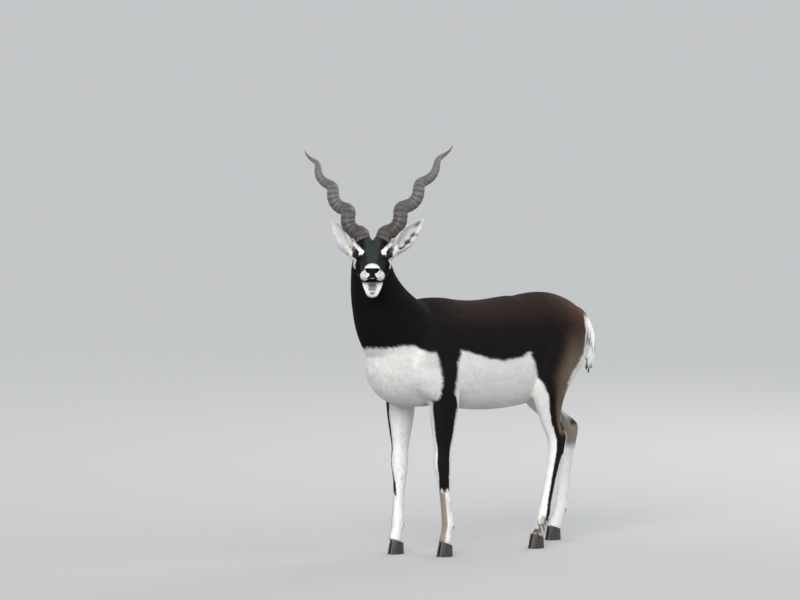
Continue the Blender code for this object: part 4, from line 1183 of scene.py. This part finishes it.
def build_body_tufts(body, coat):
    """The body's coat: short on the legs, longer above, none on the dewclaws or under the head's skin."""
    places = vertex_arrays(body.data)[0]
    z = places[:, 2]
    weight = np.where(z < 0.08, step(0.0005, 0.0020, above_coronet(places)[0]), 1.0)
    weight *= np.where((past_nape(from_head(places)) < 0.055) & (z > 0.85), 0, 1)
    weight *= 1 - dewclaw_share(places)
    roots, facing, _ = scattered(body.data, BODY_TUFTS, weight)
    lengths, widths, lift = (
        np.interp(roots[:, 2], [0.05, 0.30, 0.50, 0.60], values)
        for values in (
            [0.0050, 0.0065, 0.0105, 0.0125],
            [0.00035, 0.0004, 0.0006, 0.0007],
            [0.0010, 0.0012, 0.0024, 0.0028],
        )
    )
    colours, uv = body_colours(roots, facing), unwrapped(roots)
    tuft_meshes("coat_body", roots, facing, lie_of_coat(roots), lengths, widths, lift, colours, uv, coat)


def build_head_tufts(head, coat):
    """The face's hair, finest at the nose, with a longer crown and long white hair between horn and ear."""
    local = from_head(vertex_arrays(head.data)[0])
    wide, ahead, up = np.abs(local[:, 0]), -local[:, 1], local[:, 2]
    inside_mouth = step(0.05, 0.06, ahead) * between(up, -0.112, -0.104, -0.080, -0.074)
    weight = step(0.018, 0.024, from_eye(wide, ahead, up)) * step(0.132, 0.118, ahead)
    weight *= 1 - inside_mouth * step(0.030, 0.024, wide)
    roots, facing, _ = scattered(head.data, HEAD_TUFTS, weight)
    colours, local = head_colours(roots, facing)
    wide, back, up = np.abs(local[:, 0]), local[:, 1], local[:, 2]
    crown = step(0.018, 0.008, wide) * between(back, 0.012, 0.020, 0.050, 0.062)
    hollow = step(0.040, 0.047, wide) * step(0.012, 0.022, up) * step(0.035, 0.045, back)
    size = np.interp(-back, [-0.08, 0.0, 0.10], [0.0070, 0.0045, 0.0028])
    size = size * (1 + 1.2 * crown) + 0.006 * hollow
    outward = np.tile([0.55, 0.1, 0.83], (len(roots), 1))
    outward[:, 0] *= np.sign(local[:, 0])
    ways = mix(lie_of_face(local), outward @ np.array(IN_HEAD.to_3x3()), hollow)
    colours = mix(colours, WHITE, hollow * 0.9)
    u = 0.52 + 0.46 * share_round(local[:, 0], -up - 0.03)
    v = 0.30 + 0.20 * np.clip((0.14 - back) / 0.28, 0, 1)
    lift, uv = np.full(len(roots), 0.0006), np.stack([u, v], 1)
    tuft_meshes("coat_head", roots, facing, ways, size, size * 0.075, lift, colours, uv, coat)


def horn_line(side):
    """Middles, radii and shares of painted groove shade along the corkscrew, where each ring is a ridge above
    a sharp groove.
    """
    turns, phase, swing, bare_from = 3.8, math.radians(96), 0.0122, 0.80
    axis = HORN_TIPS[side] - HORN_ROOT
    way = axis.normalized()
    inner = (Vector((-1, 0, 0)) - Vector((-1, 0, 0)).dot(way) * way).normalized()
    front = way.cross(inner)
    steps = HORN_RINGS * RING_STEPS
    line = []
    for i in range(steps + 1):
        t = i / steps
        turn = phase - 2 * math.pi * turns * t
        offset = swing * (1 - 0.55 * t) * min(1, t * 9)
        bulge = inner * math.cos(turn) + front * math.sin(turn)
        centre = HORN_ROOT + way * (axis.length * t) + bulge * offset
        girth = HORN_RADIUS * (1 - t**2.1) ** 0.80
        ridge = math.sin(math.pi * (i % RING_STEPS) / RING_STEPS) ** 0.6
        fade = max(0.0, min(1.0, (bare_from - t) * 6))
        radius = max(girth * (1 + (0.075 * ridge - 0.045) * fade), 0.0012)
        centre.x *= SIDES[side]
        # The third value is painted shade: each groove between the ridges is darkened, less towards the bare
        # tip
        line.append((centre, radius, 1 - (1 - ridge) * 0.75 * fade))
    return line, Vector((way.x * SIDES[side], way.y, way.z))


def build_horn(side, material):
    """The horn's rings round its line, a little uneven, with painted shade in the grooves, and darker at the
    root and the tip.
    """
    line, first_way = horn_line(side)
    last = len(line) - 1
    rings = []
    for i, (centre, radius, _) in enumerate(line):
        way = (line[min(i + 1, last)][0] - line[max(i - 1, 0)][0]).normalized() if i else first_way
        across = Vector((0, 1, 0)) - Vector((0, 1, 0)).dot(way) * way
        across.normalize()
        other = way.cross(across)
        ring = []
        for a in np.linspace(0, 2 * math.pi, HORN_SIDES, endpoint=False):
            wobble = 1 + 0.012 * math.sin(5 * a + i * 0.11) + 0.008 * math.sin(11 * a + i * 0.07)
            ring.append(in_head(centre + (across * math.cos(a) + other * math.sin(a)) * radius * wobble))
        rings.append(ring)
    mesh = from_bmesh(closed_loft(rings), "horn_fine_" + side)
    along = np.repeat(np.linspace(0, 1, last + 1), HORN_SIDES)
    # Painted shade of the grooves, one share for each ring
    shade = np.repeat([row[2] for row in line], HORN_SIDES)
    base = mix(np.tile(HORN_ROOT_GREY, (len(along), 1)), HORN_GREY, step(0.10, 0.55, along))
    base = mix(base, HORN_TIP_GREY, step(0.82, 1.0, along))
    set_colours(mesh, base * shade[:, None])
    mesh.materials.append(material)
    placed("horn_fine_" + side, mesh, ["horn_" + side])


def build_eye(side, material):
    """A dark brown eye with a wide level pupil, its front bulged as by a cornea."""
    mesh = from_bmesh(ball((0, 0, 0), (1, 1, 1), segments=48), "eye_fine_" + side)
    places = vertex_arrays(mesh)[0]
    gaze = Vector((0.86 * SIDES[side], -0.50, 0.02)).normalized()
    level = Vector((0, 0, 1)).cross(gaze).normalized()
    outward, along, rise = (places @ np.array(way) for way in (gaze, level, gaze.cross(level)))
    radius = np.sqrt(along * along + rise * rise)
    seen = outward > 0
    cornea = 1 + 0.045 * step(0.62, 0.30, radius) * seen
    pupil = step(1.15, 0.95, np.sqrt((along / 0.40) ** 2 + (rise / 0.20) ** 2)) * seen
    colours = np.tile(EYE_DARK, (len(places), 1))
    colours = mix(colours, IRIS, step(0.66, 0.60, radius) * seen)
    set_colours(mesh, mix(colours, PUPIL, pupil))
    fitted = places * cornea[:, None] * (EYE_RADIUS * 0.985)
    set_places(mesh, fitted @ np.array(HEAD.to_3x3()).T + np.array(in_head(eye_centre(SIDES[side]))))
    mesh.materials.append(material)
    placed("eye_fine_" + side, mesh, ["eye_" + side])


def ear_shade(t, s, side):
    """The colour inside the ear at t up its length and s round its cup: pale, with dark blotches."""
    blotch = math.sin(17 * t + 3.1 * s) * math.sin(11 * t - 5.3 * s + 1.0) + 0.35
    low_edge = 1.0
    for share in ((s - 0.05) * 3.0, (0.72 - t) * 6, blotch * 1.6):
        low_edge *= max(0.0, min(1.0, share))
    point = max(0.0, 1 - abs(t - 0.80) / 0.13) * max(0.0, 1 - abs(s + 0.25) / 0.7)
    dark = min(1.0, low_edge + point * 1.2) * (1.0 if side == "left" else 0.15)
    return EAR_PALE + (EAR_DARK - EAR_PALE) * dark


def build_ear(side, coat):
    """A thin leaf-shaped cup, with longer hair inside than outside."""
    root, tip, way, face, across = ear_frame(side)
    length = (tip - root).length
    stations, arc_points, wall, lip = 44, 25, 0.0026, 0.0004
    rings, shades = [], []
    for t in (i / (stations - 1) for i in range(stations)):
        width = (0.0125 + 0.0125 * math.sin(math.pi * t**0.85)) * math.sqrt(1 - t**3.5) + 0.0010
        opening = math.radians(158 - 96 * t**0.75)
        depth = width * (0.95 - 0.55 * t)
        thick = min(wall, width * 0.4)
        centre = root + way * (length * t) + face * (0.010 * math.sin(math.pi * t) - 0.012 * t)
        angles = np.linspace(-opening, opening, arc_points)
        outer = [centre + across * math.sin(a) * width - face * math.cos(a) * depth for a in angles]
        inside = [
            centre + across * math.sin(a) * (width - thick) - face * (math.cos(a) * (depth - thick) - lip)
            for a in angles[::-1]
        ]
        rings.append([in_head(p) for p in outer + inside])
        shades += [EAR_BACK] * arc_points
        shades += [ear_shade(t, math.sin(a) * SIDES[side], side) for a in angles[::-1]]
    mesh = from_bmesh(closed_loft(rings), "ear_fine_" + side)
    shades = np.array(shades)
    set_colours(mesh, shades)
    mesh.materials.append(coat)
    roots, facing, near = scattered(mesh, EAR_TUFTS)
    way, face, across = (np.array(in_head(v, True)) for v in (way, face, across))
    from_root = roots - np.array(in_head(root))
    rise = from_root @ way / length
    inside = facing @ face > 0
    ways = np.tile(way, (len(roots), 1)) + (from_root - rise[:, None] * length * way) * 12
    lengths = np.where(inside, 0.0085, 0.0045)
    over = roots @ across
    u = 0.52 + 0.11 * inside + 0.22 * (side == "left")
    u = u + 0.10 * np.clip((over - over.mean()) / 0.06 + 0.5, 0, 1)
    uv = np.stack([u, 0.86 + 0.12 * np.clip(rise, 0, 1)], 1)
    lift, name = np.where(inside, 0.0022, 0.0006), "coat_ear_" + side
    tuft_meshes(name, roots, facing, ways, lengths, lengths * 0.045, lift, shades[near], uv, coat)
    placed("ear_fine_" + side, mesh, ["ear_" + side])


def build_mouth():
    """The tongue on the floor of the lower jaw, and the eight front teeth that only the lower jaw has."""
    rows = [
        (0, 0.000, -0.074, 0.0120, 0.0060, 0.0060),
        (0, -0.030, -0.084, 0.0125, 0.0055, 0.0055),
        (0, -0.060, -0.0955, 0.0120, 0.0050, 0.0050),
        (0, -0.080, -0.1040, 0.0095, 0.0045, 0.0045),
        (0, -0.090, -0.1085, 0.0050, 0.0028, 0.0028),
    ]
    teeth = []
    for a in (math.radians(-68 + 136 * k / 7) for k in range(8)):
        middle = (0.0098 * math.sin(a), -0.0935 - 0.0085 * math.cos(a), -0.1145)
        teeth.append(ball(middle, (0.0019, 0.0013, 0.0042), segments=12))
    tongue_finish = flecked_material(
        "tongue", 0.38, (900, 2), tone(112, 98, 104), tone(156, 142, 148), bump=(0.4, 0.0005)
    )
    enamel = flecked_material("teeth", 0.3, (600, 2), tone(190, 184, 170), tone(216, 212, 200))
    for name, form, finish, slot_name in (
        ("tongue", limb(rows, 40, 24, power=2), tongue_finish, "coat_black"),
        ("teeth", joined(teeth), enamel, "coat_white"),
    ):
        bmesh.ops.transform(form, matrix=HEAD, verts=form.verts)
        mesh = from_bmesh(form, name)
        mesh.materials.append(finish)
        placed(name, mesh)


def build_tail(coat):
    """The dock under flat overlapping locks: white at the sides, dark down the back and at the tip."""
    locks, thick, end_thick = 150, 0.0012, 0.0005
    generator = np.random.default_rng(7)
    pieces = [limb(tail_rows(), 24, 20)]
    for _ in range(locks):
        t = generator.random() ** 0.8 * 0.92 + 0.04
        around = generator.uniform(-1, 1)
        off_middle = 0.006 * (1 - abs(around)) * generator.choice([-1, 1])
        start = tail_point(t) + Vector((0.011 * around * (1 - 0.5 * t), off_middle, 0))
        sag = 0.034 + 0.022 * generator.random()
        spread = 0.012 * around * (1 - t) + generator.normal(0, 0.0015)
        end = start + Vector((spread, generator.normal(0, 0.003), -sag))
        half = 0.0032 - 0.001 * t
        middle = (start + end) / 2 + Vector((0, 0.002, 0))
        rows = [
            (*start, half * 0.8, thick, thick),
            (*middle, half, thick, thick),
            (*end, end_thick, end_thick, end_thick),
        ]
        pieces.append(limb(rows, 6, 6, power=2))
    mesh = from_bmesh(joined(pieces), "tail_fine")
    places, normals = vertex_arrays(mesh)
    drop = (TAIL_ROOT.z - places[:, 2]) / 0.16
    middle = step(0.007, 0.003, np.abs(places[:, 0])) * (normals[:, 1] > -0.2)
    colours = np.tile(WHITE, (len(places), 1))
    for colour, share in (
        (RUMP_BROWN, middle * step(0.6, 0.3, drop)),
        (BLACK, middle * step(0.35, 0.6, drop)),
        (BLACK, step(0.95, 1.08, drop) * 0.9),
        (RUMP_BROWN, step(0.12, -0.05, drop)),
    ):
        colours = mix(colours, colour, share)
    set_colours(mesh, colours)
    mesh.materials.append(coat)
    placed("tail_fine", mesh, ["tail"])


def finish_hooves():
    """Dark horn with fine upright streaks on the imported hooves, and their edges rounded."""
    low, high = tone(27, 24, 23), tone(62, 54, 49)
    hoof = flecked_material("hoof", 0.42, (1.0, 5, (420, 420, 30)), low, high, (0.3, 0.75), (0.3, 0.0006))
    for name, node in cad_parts.items():
        if name.startswith("hoof"):
            for slot in node.material_slots:
                slot.material = hoof
            rounded = node.modifiers.new("rounded", "BEVEL")
            rounded.width = 0.0012
            rounded.segments = 3
            rounded.limit_method = "ANGLE"
            rounded.angle_limit = math.radians(40)


def floor_and_light():
    bpy.ops.mesh.primitive_plane_add(size=900, location=(0, 0, 0))
    floor = bpy.context.active_object
    floor.name = "floor"
    made, _, _, shader = shader_material("floor", 0.9)
    shader.inputs["Base Color"].default_value = (0.46, 0.46, 0.455, 1)
    shader.inputs["Specular IOR Level"].default_value = 0.1
    floor.data.materials.append(made)
    scene = bpy.context.scene
    scene.world = bpy.data.worlds.new("studio")
    scene.world.use_nodes = True
    sky = scene.world.node_tree.nodes["Background"]
    sky.inputs["Color"].default_value = (0.90, 0.94, 1.0, 1)
    sky.inputs["Strength"].default_value = 0.75
    for name, place, degrees, power, colour in (
        ("key", (2.9, -3.6, 3.0), 40, 2.35, (1.0, 0.985, 0.96)),
        ("side", (3.6, 2.2, 2.2), 60, 0.9, (0.97, 0.985, 1.0)),
        ("fill", (-4.5, -1.5, 2.4), 60, 0.5, (0.94, 0.97, 1.0)),
        ("rim", (-1.2, 4.0, 3.6), None, 70, (1.0, 0.99, 0.97)),
    ):
        light = bpy.data.lights.new(name, "SUN" if degrees else "AREA")
        if degrees:
            light.angle = math.radians(degrees)
        else:
            light.size = 2.6
        light.energy = power
        light.color = colour
        lamp = bpy.data.objects.new(name, light)
        lamp.location = place
        lamp.rotation_euler = (Vector((0, 0, 0.6)) - Vector(place)).to_track_quat("-Z", "Y").to_euler()
        scene.collection.objects.link(lamp)
    scene.view_settings.view_transform = "Standard"
    scene.view_settings.look = "None"


def camera():
    """The photo's own view, where the animal stands right of the picture's middle and below it."""
    turn = Matrix.Rotation(VIEW_AZIMUTH, 3, "Z") @ Matrix.Rotation(-VIEW_RISE, 3, "X")
    back, right = turn @ Vector((0, -1, 0)), turn @ Vector((1, 0, 0))
    up = back.cross(right)
    width, height = PICTURE
    middle = right * ((width / 2 - STANDS_AT[0]) * POINT) + up * ((STANDS_AT[1] - height / 2) * POINT)
    place = up * VIEW_HEIGHT + back * VIEW_DISTANCE
    data = bpy.data.cameras.new("camera")
    data.sensor_width = 36
    data.lens = data.sensor_width * VIEW_DISTANCE / (width * POINT)
    data.clip_end = 200
    view = bpy.data.objects.new("camera", data)
    view.location = place + BODY_SHIFT
    view.rotation_euler = (middle - place).to_track_quat("-Z", "Y").to_euler()
    bpy.context.scene.collection.objects.link(view)
    bpy.context.scene.camera = view


def main():
    coat = coat_material()
    body, head = build_body_skin(coat), build_head_skin(coat)
    build_body_tufts(body, coat)
    build_head_tufts(head, coat)
    settle(body)
    settle(head)
    uppers = [f"{leg}_{side}_upper" for leg in ("foreleg", "hindleg") for side in SIDES]
    lowers = [name.replace("upper", "lower") for name in uppers]
    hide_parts("neck", "torso", *uppers, *lowers)
    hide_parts("head")
    horn, eye = horn_material(), eye_material()
    for side in SIDES:
        build_horn(side, horn)
        build_eye(side, eye)
        build_ear(side, coat)
    build_mouth()
    build_tail(coat)
    finish_hooves()
    floor_and_light()
    camera()


main()
